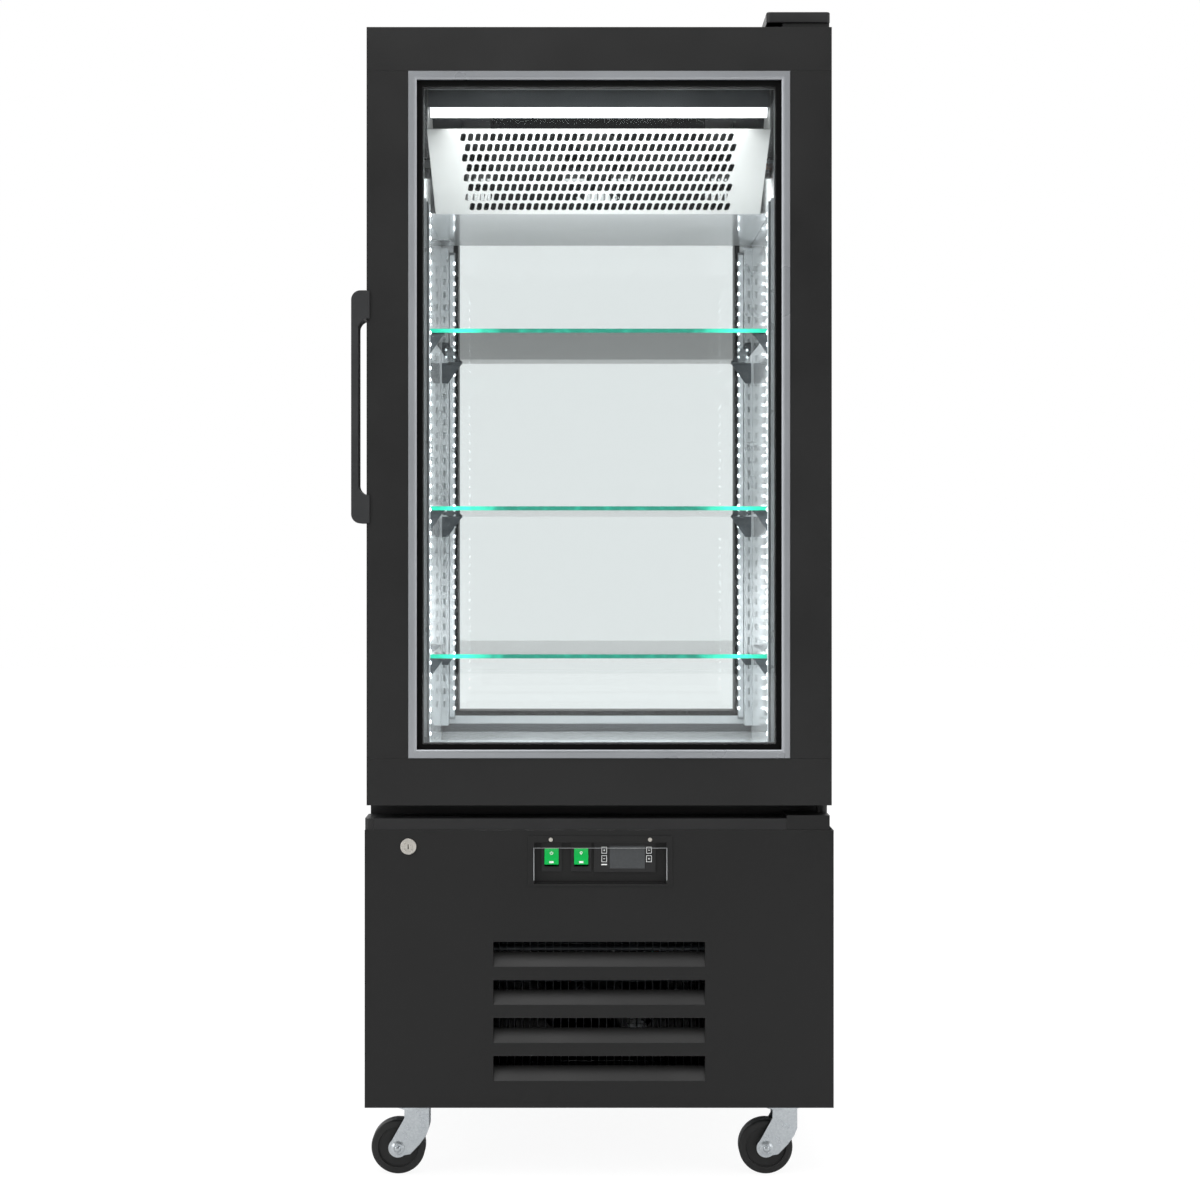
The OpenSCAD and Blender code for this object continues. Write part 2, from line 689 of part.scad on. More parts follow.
// Suction pipe, liquid pipe with its filter, and discharge pipe
module refrigerant_pipes() color("#b87333") placed() {
    shell_r = 62;
    top = pan_z + 90;
    coil_x = coil_w / 2 + 6.3;
    cond_x = cond_w / 2 + 6.3;
    pipe_run([[comp_x + shell_r, comp_y, top + 8], [comp_x + 130, comp_y, top + 8],
              [comp_x + 130, pipe_y, base_top - 60], [pipe_x + 6, pipe_y, base_top - 60],
              [pipe_x + 6, pipe_y, pipe_z], [coil_x + 14, pipe_y, pipe_z],
              [coil_x + 14, coil_y0 + coil_d * 0.75, coil_z0 + coil_h / 6]], suction_r);
    pipe([coil_x, coil_y0 + coil_d * 0.75, coil_z0 + coil_h / 6],
         [coil_x + 14, coil_y0 + coil_d * 0.75, coil_z0 + coil_h / 6], suction_r);
    pipe_run([[cond_x + liquid_r, cond_y0 + cond_d / 4, pan_z + 12 + cond_h / 10],
              [cond_w / 2 + 34, cond_y0 + cond_d / 4, pan_z + 40], [cond_w / 2 + 34, pipe_y - 20, pan_z + 90],
              [pipe_x - 8, pipe_y, base_top - 80], [pipe_x - 8, pipe_y, pipe_z - 4]], liquid_r);
    translate([cond_w / 2 + 34, cond_y0 + 120, pan_z + 55]) rotate([-80, 0, 0]) cylinder(r = 9, h = 70);
    pipe_run([[comp_x, comp_y - shell_r - liquid_r, top], [comp_x, comp_y - 90, top],
              [-cond_w / 2 - 22, comp_y - 90, top + 30], [-cond_w / 2 - 22, cond_y0 + 45, top + 50],
              [-cond_x - liquid_r, cond_y0 + 45, pan_z + 12 + cond_h * 0.9]], liquid_r);
}

gland_bore_r = 4.5;

// Cable gland in the back panel
module power_gland() color("#202224") placed() difference() {
    union() {
        rod_y(gland_x, gland_z, gland_thread_r, back_y - 12, back_y + 1);
        translate([gland_x, back_y + 0.05, gland_z]) rotate([-90, 0, 0]) cylinder(r = 13.5, h = 5, $fn = 6);
        rod_y(gland_x, gland_z, 11, back_y + 4, back_y + gland_out);
        translate([gland_x, back_y - sheet_t - 5.05, gland_z]) rotate([-90, 0, 0]) cylinder(r = 14, h = 5, $fn = 6);
    }
    rod_y(gland_x, gland_z, gland_bore_r, back_y - 13, back_y + gland_out + 1);
}

// ---------- Controls ----------

rocker_w = 18;
rocker_h = 23;
housing_w = 26;
housing_h = 36.6;
housing_t = 2.2;
rocker_x = [-61, -23];
rocker_z = tray_z + 4;
floor_y = front_y + pocket_depth;
ctrl_x = 33;
ctrl_w = 79;
ctrl_h = 38;
ctrl_z = rocker_z;
key_w = 7.4;
key_h = 9;
key_clear = 0.25;
key_at = [[-26.5, 9], [-26.5, -2], [30.8, 9], [30.8, -2]];
window_w = 45;
window_h = 29;
window_x = 3;

// Pressed tray that carries the switches and the controller, with its screws
module control_tray() color("#232323") placed() {
    px0 = tray_x - pocket_w / 2;
    px1 = tray_x + pocket_w / 2;
    difference() {
        union() {
            span([tray_x - tray_w / 2, front_y - sheet_t, tray_z - tray_h / 2],
                 [tray_x + tray_w / 2, front_y - 0.05, tray_z + tray_h / 2]);
            span([px0 - sheet_t, front_y - sheet_t, pocket_z0 - sheet_t],
                 [px1 + sheet_t, floor_y + sheet_t, pocket_z1 + sheet_t]);
        }
        span([px0, front_y - 2 * sheet_t, pocket_z0], [px1, floor_y, pocket_z1]);
        for (x = rocker_x)
            span([x - housing_w / 2 + 1.6, floor_y - 1, rocker_z - housing_h / 2 + 1.6],
                 [x + housing_w / 2 - 1.6, floor_y + 3, rocker_z + housing_h / 2 - 1.6]);
        span([ctrl_x - ctrl_w / 2 + 3, floor_y - 1, ctrl_z - ctrl_h / 2 + 3],
             [ctrl_x + ctrl_w / 2 - 3, floor_y + 3, ctrl_z + ctrl_h / 2 - 3]);
    }
    for (s = [-1, 1]) rod_y(tray_x + s * 63.4, tray_z + tray_h / 2 - 4.5, 2.9, front_y - sheet_t - 1.6,
                            front_y - sheet_t - 0.02);
}

module switch_housing(x) {
    y0 = floor_y - housing_t;
    difference() {
        union() {
            span([x - housing_w / 2, y0, rocker_z - housing_h / 2],
                 [x + housing_w / 2, floor_y - 0.05, rocker_z + housing_h / 2]);
            span([x - housing_w / 2 + 2, floor_y - 0.1, rocker_z - housing_h / 2 + 2],
                 [x + housing_w / 2 - 2, floor_y + 20, rocker_z + housing_h / 2 - 2]);
        }
        span([x - rocker_w / 2 - seat, y0 - 1, rocker_z - rocker_h / 2 - 0.6],
             [x + rocker_w / 2 + seat, floor_y + 12, rocker_z + rocker_h / 2 + 0.6]);
        translate([x - housing_w / 2 + 3, rocker_axis_y, rocker_z]) rotate([0, 90, 0])
            cylinder(r = rocker_pin_r + pin_clear, h = housing_w - 6);
    }
}

// Switch bodies and the controller's case
module control_housings() color("#17181a") placed() {
    for (x = rocker_x) switch_housing(x);
    y0 = floor_y - 3;
    difference() {
        union() {
            span([ctrl_x - ctrl_w / 2, y0, ctrl_z - ctrl_h / 2],
                 [ctrl_x + ctrl_w / 2, floor_y - 0.05, ctrl_z + ctrl_h / 2]);
            span([ctrl_x - ctrl_w / 2 + 3.5, floor_y - 0.1, ctrl_z - ctrl_h / 2 + 3.5],
                 [ctrl_x + ctrl_w / 2 - 3.5, floor_y + 48, ctrl_z + ctrl_h / 2 - 3.5]);
        }
        span([ctrl_x + window_x - window_w / 2 - 0.1, y0 - 1, ctrl_z - window_h / 2 - 0.1],
             [ctrl_x + window_x + window_w / 2 + 0.1, y0 + 1.3, ctrl_z + window_h / 2 + 0.1]);
        for (k = key_at)
            span([ctrl_x + k[0] - key_w / 2 - key_clear, y0 - 1, ctrl_z + k[1] - key_h / 2 - key_clear],
                 [ctrl_x + k[0] + key_w / 2 + key_clear, y0 + 6, ctrl_z + k[1] + key_h / 2 + key_clear]);
    }
}

// Dark window over the display
module controller_window() color("#3b3e40") placed()
    span([ctrl_x + window_x - window_w / 2, floor_y - 3, ctrl_z - window_h / 2],
         [ctrl_x + window_x + window_w / 2, floor_y - 1.8, ctrl_z + window_h / 2]);

rocker_axis_y = floor_y + 3.5;
rocker_pin_r = 1.5;
rocker_tilt = 8;
rocker_face_r = 9;

// A rocker at rest with its upper end pressed in, on two short pins
module rocker(x) difference() {
    translate([x, rocker_axis_y, rocker_z]) rotate([-rocker_tilt, 0, 0]) {
        rotate([90, 0, 90]) linear_extrude(rocker_w, center = true)
            polygon([[-rocker_face_r + 1.5, 0], [-rocker_face_r, rocker_h / 2 - 1.3], [2, rocker_h / 2 - 1.8],
                     [4, 4], [4, -4], [2, -rocker_h / 2 + 1.8], [-rocker_face_r, -rocker_h / 2 + 1.3]]);
        rotate([0, 90, 0]) cylinder(r = rocker_pin_r, h = housing_w - 7, center = true);
    }
}

module rocker_power() color("#1fb455") placed() rocker(rocker_x[0]);
module rocker_light() color("#1fb455") placed() rocker(rocker_x[1]);

module key(i) color("#2b2d2f") placed()
    span([ctrl_x + key_at[i][0] - key_w / 2, floor_y - 3.6, ctrl_z + key_at[i][1] - key_h / 2],
         [ctrl_x + key_at[i][0] + key_w / 2, floor_y + 1.6, ctrl_z + key_at[i][1] + key_h / 2]);

module key_up() key(0);
module key_down() key(1);
module key_light() key(2);
module key_set() key(3);

// Lock case in the front panel, held by its nut
module lock_body() color("#c8c4bb") placed() difference() {
    union() {
        rod_y(lock_x, lock_z, lock_face_r, front_y - 1.8, front_y - 0.05);
        rod_y(lock_x, lock_z, lock_body_r, front_y - 0.1, cam_y - 0.4);
        rod_y(lock_x, lock_z, lock_face_r + 1.5, front_y + sheet_t + 0.05, front_y + sheet_t + 4);
    }
    rod_y(lock_x, lock_z, lock_barrel_r + pin_clear, front_y - 3, cam_y + 1);
}

// Key barrel with its slot, and the cam that rises into the door
module lock_barrel() color("#d8d5cc") placed() {
    difference() {
        rod_y(lock_x, lock_z, lock_barrel_r, front_y - 2, cam_y + 0.1);
        span([lock_x - 0.8, front_y - 3, lock_z - 3.2], [lock_x + 0.8, front_y + 8, lock_z + 3.2]);
    }
    span([lock_x - cam_w / 2, cam_y, lock_z - cam_w / 2], [lock_x + cam_l, cam_y + cam_t, lock_z + cam_w / 2]);
}

// ---------- Hinges ----------

hinge_block_x0 = half_w - 60;
arm_t = 5;
arm_w = 60;
arm_y1 = face_y + 55;
pin_stop = 1;

// Roof arm with its pin, and the block and pin under the door
module hinge_brackets() color("#1b1b1b") placed() {
    span([hinge_x - arm_w + 9, hinge_y - 12, body_h + 0.05], [hinge_x + 9, arm_y1, body_h + arm_t]);
    translate([hinge_x, hinge_y, door_z1 - bush_l + pin_stop])
        cylinder(r = pin_r, h = body_h + arm_t - door_z1 + bush_l - pin_stop);
    for (y = [face_y + 20, face_y + 42], x = [hinge_x - 40, hinge_x - 8])
        translate([x, y, body_h + arm_t - 0.05]) cylinder(r = 5, h = 3);
    span([hinge_block_x0, front_y + 1, base_top + 0.05], [half_w - 5, face_y - 0.05, base_top + ledge_h + 4]);
    translate([hinge_x, hinge_y, base_top + ledge_h]) cylinder(r = pin_r, h = door_lift - ledge_h + bush_l - pin_stop);
    translate([hinge_x, hinge_y, base_top + ledge_h + 3.9])
        cylinder(r = pin_r + 3, h = door_lift - ledge_h - 4 - seat);
}

cover_w = 82;
cap_h = 14;

// Plastic cap over the roof hinge
module hinge_cover() color("#202020") placed() {
    x1 = hinge_x + 10;
    y0 = hinge_y - 14;
    y1 = arm_y1 + 3;
    z0 = body_h + arm_t + 0.1;
    difference() {
        translate([x1 - cover_w / 2, (y0 + y1) / 2, z0]) linear_extrude(cap_h)
            round_rect(cover_w, y1 - y0, 5);
        translate([x1 - cover_w / 2, (y0 + y1) / 2, z0 - 1]) linear_extrude(cap_h - 1.5)
            round_rect(cover_w - 5, y1 - y0 - 5, 3);
    }
}

// ---------- Door ----------

slot_z = 11;

// Four members of the door, with the hinge bores and the lock slot
module door_frame() color("#2b2b2b") placed() difference() {
    bars(-door_half, door_half, door_z0, door_z1, front_y, door_back_y, [stile_w, bottom_rail_h, top_rail_h]);
    for (z = [door_z0 - 1, door_z1 - bush_l]) translate([hinge_x, hinge_y, z]) cylinder(r = bush_r, h = bush_l + 1);
    span([lock_x - cam_w / 2 - 3, cam_y - 3, door_z0 - 1], [lock_x + 34, cam_y + cam_t + 3, door_z0 + slot_z]);
}

// Bright bead in front of the glass, and the black stop behind it
module door_bead() color("#a7abad") placed() {
    bars(-open_half + seat, open_half - seat, open_z0 + seat, open_z1 - seat,
         front_y - bead_proud, door_pane_y - 0.1, [bead_w, bead_w, bead_w]);
    bars(-open_half + seat, open_half - seat, open_z0 + seat, open_z1 - seat,
         door_pane_y + glass_unit_t + 0.1, door_back_y - 0.1, [bead_w, bead_w, bead_w]);
}

// Front and back panes of the door's glass unit
module door_glass() color([0.8, 0.92, 0.9, 0.35]) placed()
    for (y = [door_pane_y, door_pane_y + glass_unit_t - pane_t])
        span([-open_half + 1, y, open_z0 + 1], [open_half - 1, y + pane_t, open_z1 - 1]);

// Black spacer between the door's panes
module door_spacer() color("#101112") placed() {
    w = bead_w + glass_border;
    bars(-open_half + 1, open_half - 1, open_z0 + 1, open_z1 - 1,
         door_pane_y + pane_t + 0.1, door_pane_y + glass_unit_t - pane_t - 0.1, [w, w, w]);
}

gasket_w = 16;

// Magnetic seal on the back of the door
module door_gasket() color("#141414") placed()
    bars(-liner_half - 22, liner_half + 22, floor_z - 32, ceiling_z + 22, door_back_y + 0.05, face_y - seat,
         [gasket_w, gasket_w, gasket_w]);

handle_x0 = -door_half - handle_out;
block_h = 37;
finger_r = 12;
handle_r = 12;
handle_wrap = 4;

// Upright pull on the door's edge, with its two screws
module door_handle() color("#3c3d3e") placed() {
    z0 = handle_z - handle_l / 2;
    z1 = handle_z + handle_l / 2;
    difference() {
        slab_xz(front_y - handle_lip_t, front_y + handle_d) difference() {
            union() {
                translate([handle_x0 + handle_r, z0]) square([handle_out - handle_r - 0.05, handle_l]);
                translate([handle_x0, z0 + handle_r]) square([handle_r + 1, handle_l - 2 * handle_r]);
                for (z = [z0, z1 - handle_r]) intersection() {
                    translate([handle_x0 + handle_r, z == z0 ? z0 + handle_r : z]) circle(r = handle_r);
                    translate([handle_x0, z]) square([handle_r + 0.1, handle_r]);
                }
            }
            translate([handle_x0 + grip_t, z0 + block_h + finger_r])
                square([handle_out, handle_l - 2 * block_h - 2 * finger_r]);
            for (z = [z0 + block_h + finger_r, z1 - block_h - finger_r])
                translate([handle_x0 + grip_t + finger_r, z]) circle(r = finger_r);
            translate([handle_x0 + grip_t + finger_r, z0 + block_h])
                square([handle_out, handle_l - 2 * block_h]);
        }
    }
    for (z = [z0, z1 - block_h])
        span([-door_half - 0.1, front_y - handle_lip_t, z + 1], [-door_half + handle_wrap, front_y - 0.05, z + block_h - 1]);
    for (z = [z0 + block_h / 2, z1 - block_h / 2]) 
        translate([handle_x0 - handle_screw_h, front_y + handle_d / 2, z])
            rotate([0, 90, 0]) cylinder(r = 3.5, h = handle_screw_h + 0.1);
}

// Plastic bushes in the door's hinge bores
module hinge_bushes() color("#d9d9d4") placed()
    for (z = [door_z0 + 0.1, door_z1 - bush_l + 0.1]) translate([hinge_x, hinge_y, z]) difference() {
        cylinder(r = bush_r - 0.02, h = bush_l - 0.2);
        translate([0, 0, -1]) cylinder(r = pin_r + pin_clear, h = bush_l + 2);
    }

// ---------- Casters ----------

caster_x = half_w - caster_inset;
caster_y = body_d / 2 - 57;
plate_t = 2.5;
plate_w = 76;
plate_d = 62;
plate_hole_x = 58;
plate_hole_y = 46;
bolt_r = 3;
race_r = 28;
race_h = 8;
axle_z = wheel_d / 2;
axle_r = 4;
pintle_r = 5;
leg_t = 2.2;
fork_gap = wheel_w + 5;
fork_top = caster_h - plate_t - race_h - 0.6;
fork_r = 18.5;

// Places a caster: sx and sy pick the corner
module at_caster(sx, sy) placed() translate([sx * caster_x, sy * caster_y, 0]) children();

// Top plates with their races, pintles and bolts
module caster_plates() color("#b9bec2") for (sx = [-1, 1], sy = [-1, 1]) at_caster(sx, sy) {
    difference() {
        translate([0, 0, caster_h - plate_t]) linear_extrude(plate_t - 0.05) round_rect(plate_w, plate_d, 6);
        for (i = [-1, 1], j = [-1, 1]) translate([i * plate_hole_x / 2, j * plate_hole_y / 2, 0])
            cylinder(r = bolt_r + 0.3, h = caster_h + 5);
    }
    translate([0, 0, caster_h - plate_t - race_h]) difference() {
        cylinder(r = race_r, h = race_h + 0.1);
        translate([0, 0, -1]) cylinder(r = race_r - 5, h = race_h - 1);
    }
    translate([0, 0, fork_top - leg_t - 4]) cylinder(r = pintle_r, h = caster_h - fork_top + leg_t + 2);
    translate([0, 0, fork_top - leg_t - 7]) cylinder(r = pintle_r + 3, h = 3.5);
    for (i = [-1, 1], j = [-1, 1]) translate([i * plate_hole_x / 2, j * plate_hole_y / 2, 0]) {
        translate([0, 0, caster_h - plate_t - 4.05]) cylinder(r = bolt_r + 2.5, h = 4, $fn = 6);
        translate([0, 0, caster_h - plate_t - 1]) cylinder(r = bolt_r, h = plate_t + 8);
    }
}

// Side outline of a fork leg, in XZ about the swivel axis
module leg_outline() {
    difference() {
        polygon([[-fork_r + 5, fork_top], [fork_r, fork_top], [fork_r, axle_z + 26], [fork_r - 4, axle_z + 16],
                 [fork_r - 12, axle_z + 5], [-caster_trail + 16, axle_z - 8], [-caster_trail, axle_z - 11],
                 [-caster_trail - 11, axle_z + 1], [-caster_trail - 9, axle_z + 8],
                 [-fork_r + 5, fork_top - 13]]);
        translate([-caster_trail, axle_z]) circle(r = axle_r + 0.02);
    }
    translate([-caster_trail, axle_z]) difference() {
        circle(r = 12.4);
        circle(r = axle_r + 0.02);
    }
}

// Swivel fork with its axle bolt and nut
module caster_fork(sx, sy) color("#c2c6c9") at_caster(sx, sy) {
    for (s = [-1, 1]) slab_xz(s > 0 ? fork_gap / 2 : -fork_gap / 2 - leg_t,
                              s > 0 ? fork_gap / 2 + leg_t : -fork_gap / 2) leg_outline();
    difference() {
        union() {
            span([-fork_r + 5, -fork_gap / 2 - leg_t, fork_top - leg_t], [fork_r, fork_gap / 2 + leg_t, fork_top]);
            translate([0, 0, fork_top - leg_t]) cylinder(r = race_r - 6, h = race_h + leg_t - 1.5);
            span([fork_r - leg_t, -fork_gap / 2 - leg_t, axle_z + 26], [fork_r, fork_gap / 2 + leg_t, fork_top]);
        }
        translate([0, 0, fork_top - leg_t - 1]) cylinder(r = pintle_r + pin_clear, h = race_h + 10);
    }
    rod_y(-caster_trail, axle_z, axle_r, -fork_gap / 2 - leg_t - 5, fork_gap / 2 + leg_t + 5);
    for (y = [-fork_gap / 2 - leg_t - 4.05, fork_gap / 2 + leg_t + 0.05])
        translate([-caster_trail, y, axle_z]) rotate([-90, 0, 0]) cylinder(r = 7, h = 4, $fn = 6);
}

module caster_fork_fl() caster_fork(-1, -1);
module caster_fork_fr() caster_fork(1, -1);
module caster_fork_rl() caster_fork(-1, 1);
module caster_fork_rr() caster_fork(1, 1);

// Wheel with a rounded tread and a dished face
module caster_wheel(sx, sy) color("#161616") at_caster(sx, sy)
    translate([-caster_trail, 0, axle_z]) rotate([90, 0, 0]) rotate_extrude()
        difference() {
            union() {
                translate([axle_r + pin_clear, -wheel_w / 2 - 2]) square([8, wheel_w + 4]);
                translate([axle_r + pin_clear, -wheel_w / 2 + 3]) square([wheel_d / 2 - axle_r - 4, wheel_w - 6]);
                translate([wheel_d / 2 - 9, -wheel_w / 2]) square([6, wheel_w]);
                translate([wheel_d / 2 - 3, -wheel_w / 2 + 3]) square([3, wheel_w - 6]);
                for (s = [-1, 1]) translate([wheel_d / 2 - 3, s * (wheel_w / 2 - 3)]) circle(r = 3);
            }
        }

module caster_wheel_fl() caster_wheel(-1, -1);
module caster_wheel_fr() caster_wheel(1, -1);
module caster_wheel_rl() caster_wheel(-1, 1);
module caster_wheel_rr() caster_wheel(1, 1);

base_plates();
base_side_panels();
base_front_panel();
base_rear_grille();
front_ledge();
front_frame();
cabinet_side_skins();
wall_foam();
interior_liner();
roof_cover();
rear_frame();
rear_glass();
rear_spacer();
rear_trim();
corner_uprights();
shelf_brackets();
shelf_top();
shelf_middle();
shelf_bottom();
led_channels();
led_diffusers();
evaporator_cover();
evaporator_coil();
fan_motors();
evaporator_fan();
condenser_fan();
drain_set();
compressor();
condenser_coil();
refrigerant_pipes();
power_gland();
control_tray();
control_housings();
controller_window();
rocker_power();
rocker_light();
key_set();
key_down();
key_up();
key_light();
lock_body();
lock_barrel();
hinge_brackets();
hinge_cover();
door_frame();
door_bead();
door_glass();
door_spacer();
door_gasket();
door_handle();
hinge_bushes();
caster_plates();
caster_fork_fl();
caster_fork_fr();
caster_fork_rl();
caster_fork_rr();
caster_wheel_fl();
caster_wheel_fr();
caster_wheel_rl();
caster_wheel_rr();
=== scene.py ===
import bpy
import bmesh
import json
import math
from mathutils import Matrix, Vector


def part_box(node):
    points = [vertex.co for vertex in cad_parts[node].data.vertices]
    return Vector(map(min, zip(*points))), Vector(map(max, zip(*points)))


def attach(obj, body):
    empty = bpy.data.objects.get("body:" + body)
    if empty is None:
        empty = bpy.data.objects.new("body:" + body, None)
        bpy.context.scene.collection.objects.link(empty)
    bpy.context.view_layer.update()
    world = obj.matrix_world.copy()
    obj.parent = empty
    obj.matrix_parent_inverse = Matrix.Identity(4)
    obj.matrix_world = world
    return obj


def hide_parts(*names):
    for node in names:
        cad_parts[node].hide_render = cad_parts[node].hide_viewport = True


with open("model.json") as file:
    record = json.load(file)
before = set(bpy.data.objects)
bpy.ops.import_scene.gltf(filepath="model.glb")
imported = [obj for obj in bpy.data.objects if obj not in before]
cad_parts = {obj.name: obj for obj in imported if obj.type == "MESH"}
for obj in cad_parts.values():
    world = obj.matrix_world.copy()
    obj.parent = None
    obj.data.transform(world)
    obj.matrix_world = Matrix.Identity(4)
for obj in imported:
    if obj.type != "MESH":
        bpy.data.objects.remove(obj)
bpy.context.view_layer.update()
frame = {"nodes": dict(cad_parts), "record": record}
nodes = frame["nodes"]
bodyOf = {n: body for body, members in frame["record"]["behaviour"]["bodies"].items() for n in members}
slotOf = {s["node"]: s["material_slot"] for s in frame["record"]["subparts"]}
mm = 0.001
print("frame loaded:", len(nodes), "nodes")

# the cabinet's middle plane: the base panel is symmetric about it
panelLow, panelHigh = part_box("base_front_panel")
cabinetX = (panelLow[0] + panelHigh[0]) / 2
frontY = panelLow[1]


# ---------------------------------------------------------------- camera

camera = {"lens": 63.34, "back": 2.7, "side": -0.0207, "height": 0.8035, "shiftX": 0.01417, "shiftY": -0.0367}

camData = bpy.data.cameras.new("camera")
camData.sensor_width = 36
camData.lens = camera["lens"]
camData.shift_x = camera["shiftX"]
camData.shift_y = camera["shiftY"]
camData.clip_end = 50
camObject = bpy.data.objects.new("camera", camData)
camObject.location = (cabinetX + camera["side"], frontY - camera["back"], camera["height"])
camObject.rotation_euler = (math.radians(90), 0, 0)
bpy.context.collection.objects.link(camObject)
bpy.context.scene.camera = camObject
bpy.context.scene.view_settings.view_transform = "Standard"


# ---------------------------------------------------------------- materials

def srgb(code, alpha=1.0):
    values = [int(code[i:i + 2], 16) / 255 for i in (1, 3, 5)]
    linear = [v / 12.92 if v <= 0.04045 else ((v + 0.055) / 1.055) ** 2.4 for v in values]
    return (*linear, alpha)


def addNode(tree, kind, settings=None, links=None):
    node = tree.nodes.new(kind)
    for key, value in (settings or {}).items():
        if isinstance(key, int) or key in node.inputs:
            node.inputs[key].default_value = value
        else:
            setattr(node, key, value)
    for key, source in (links or {}).items():
        tree.links.new(source, node.inputs[key])
    return node


def newMaterial(name):
    material = bpy.data.materials.new(name)
    material.use_nodes = True
    tree = material.node_tree
    tree.nodes.clear()
    output = addNode(tree, "ShaderNodeOutputMaterial")
    place = addNode(tree, "ShaderNodeTexCoord")
    return material, tree, output, place.outputs["Object"]


# colour that wanders between two near shades, roughness that wanders with it, and a fine bump
def mottledSurface(name, dark, light, rough, grainMm, bumpMm, patchMm=120, stretch=(1, 1, 1), **fixed):
    material, tree, output, place = newMaterial(name)
    turned = addNode(tree, "ShaderNodeMapping", {"Scale": stretch}, {"Vector": place})
    grain = addNode(tree, "ShaderNodeTexNoise", {"Scale": 1 / (grainMm * mm), "Detail": 3.0, "Roughness": 0.55},
                    {"Vector": turned.outputs[0]})
    patch = addNode(tree, "ShaderNodeTexNoise", {"Scale": 1 / (patchMm * mm), "Detail": 4.0}, {"Vector": place})
    both = addNode(tree, "ShaderNodeMath", {"operation": "ADD"}, {0: grain.outputs["Fac"], 1: patch.outputs["Fac"]})
    colour = addNode(tree, "ShaderNodeMapRange", {"From Min": 0.7, "From Max": 1.3}, {"Value": both.outputs[0]})
    tint = addNode(tree, "ShaderNodeMix", {"data_type": "RGBA", "A": srgb(dark), "B": srgb(light)},
                   {"Factor": colour.outputs[0]})
    tint.inputs[6].default_value = srgb(dark)
    tint.inputs[7].default_value = srgb(light)
    roughness = addNode(tree, "ShaderNodeMapRange",
                        {"From Min": 0.3, "From Max": 0.7, "To Min": rough[0], "To Max": rough[1]},
                        {"Value": patch.outputs["Fac"]})
    bump = addNode(tree, "ShaderNodeBump", {"Strength": 1.0, "Distance": bumpMm * mm}, {"Height": grain.outputs["Fac"]})
    shader = addNode(tree, "ShaderNodeBsdfPrincipled", fixed,
                     {"Base Color": tint.outputs[2], "Roughness": roughness.outputs[0], "Normal": bump.outputs[0]})
    tree.links.new(shader.outputs[0], output.inputs["Surface"])
    return material


# sheet glass: a clear body and a faint reflection that grows at a slant, so the lit inside stays lit
def clearGlass(name, throughColour):
    material, tree, output, place = newMaterial(name)
    film = addNode(tree, "ShaderNodeTexNoise", {"Scale": 1 / (160 * mm), "Detail": 2.0}, {"Vector": place})
    haze = addNode(tree, "ShaderNodeMapRange", {"To Min": 0.0, "To Max": 0.02}, {"Value": film.outputs["Fac"]})
    mirror = addNode(tree, "ShaderNodeBsdfGlossy", {"Color": srgb("#ffffff")}, {"Roughness": haze.outputs[0]})
    clear = addNode(tree, "ShaderNodeBsdfTransparent", {"Color": srgb(throughColour)})
    slant = addNode(tree, "ShaderNodeFresnel", {"IOR": 1.45})
    path = addNode(tree, "ShaderNodeLightPath")
    lit = addNode(tree, "ShaderNodeMath", {"operation": "SUBTRACT", 0: 1.0}, {1: path.outputs["Is Shadow Ray"]})
    share = addNode(tree, "ShaderNodeMath", {"operation": "MULTIPLY"}, {0: slant.outputs[0], 1: lit.outputs[0]})
    mix = addNode(tree, "ShaderNodeMixShader", {}, {0: share.outputs[0], 1: clear.outputs[0], 2: mirror.outputs[0]})
    tree.links.new(mix.outputs[0], output.inputs["Surface"])
    return material


def litPlastic(name, code, glow, strength, rough=0.3):
    material, tree, output, place = newMaterial(name)
    haze = addNode(tree, "ShaderNodeTexNoise", {"Scale": 1 / (3 * mm), "Detail": 2.0}, {"Vector": place})
    level = addNode(tree, "ShaderNodeMapRange", {"From Min": 0.3, "From Max": 0.7, "To Min": rough, "To Max": rough + 0.08},
                    {"Value": haze.outputs["Fac"]})
    shader = addNode(tree, "ShaderNodeBsdfPrincipled",
                     {"Base Color": srgb(code), "Emission Color": srgb(glow), "Emission Strength": strength},
                     {"Roughness": level.outputs[0]})
    tree.links.new(shader.outputs[0], output.inputs["Surface"])
    return material


# baked polyester powder on sheet steel: dead even black with a faint orange peel
powderCoat = mottledSurface("satinPowderCoat", "#141414", "#181818", (0.46, 0.54), 1.1, 0.012,
                            **{"Specular IOR Level": 0.35})
# door profile, the same powder but a shade lighter
doorCoat = mottledSurface("doorPowderCoat", "#171717", "#1b1b1b", (0.42, 0.5), 1.1, 0.012,
                          **{"Specular IOR Level": 0.4})
# injection-moulded ABS with a fine spark-eroded grain
mouldedAbs = mottledSurface("mouldedAbs", "#101011", "#161617", (0.5, 0.6), 0.5, 0.02, 60)
handleAbs = mottledSurface("handleAbs", "#262728", "#2c2d2e", (0.42, 0.5), 0.5, 0.015, 60)
# rolled and electro-polished stainless: soft mirror with faint rolling lines
polishedSteel = mottledSurface("polishedStainless", "#dfe2e4", "#eef0f2", (0.05, 0.1), 0.9, 0.0006, 200,
                               (1, 1, 0.03), Metallic=0.45)
# the same sheet seen dull, where nothing lights it: over the evaporator
shadedSteel = mottledSurface("shadedCeilingLining", "#17191b", "#1f2224", (0.5, 0.6), 1.2, 0.01)
# extruded aluminium, etched and anodised: silky, a little grey
anodised = mottledSurface("anodisedAluminium", "#9fa3a6", "#b4b7ba", (0.3, 0.38), 0.6, 0.004, 90, Metallic=1.0)
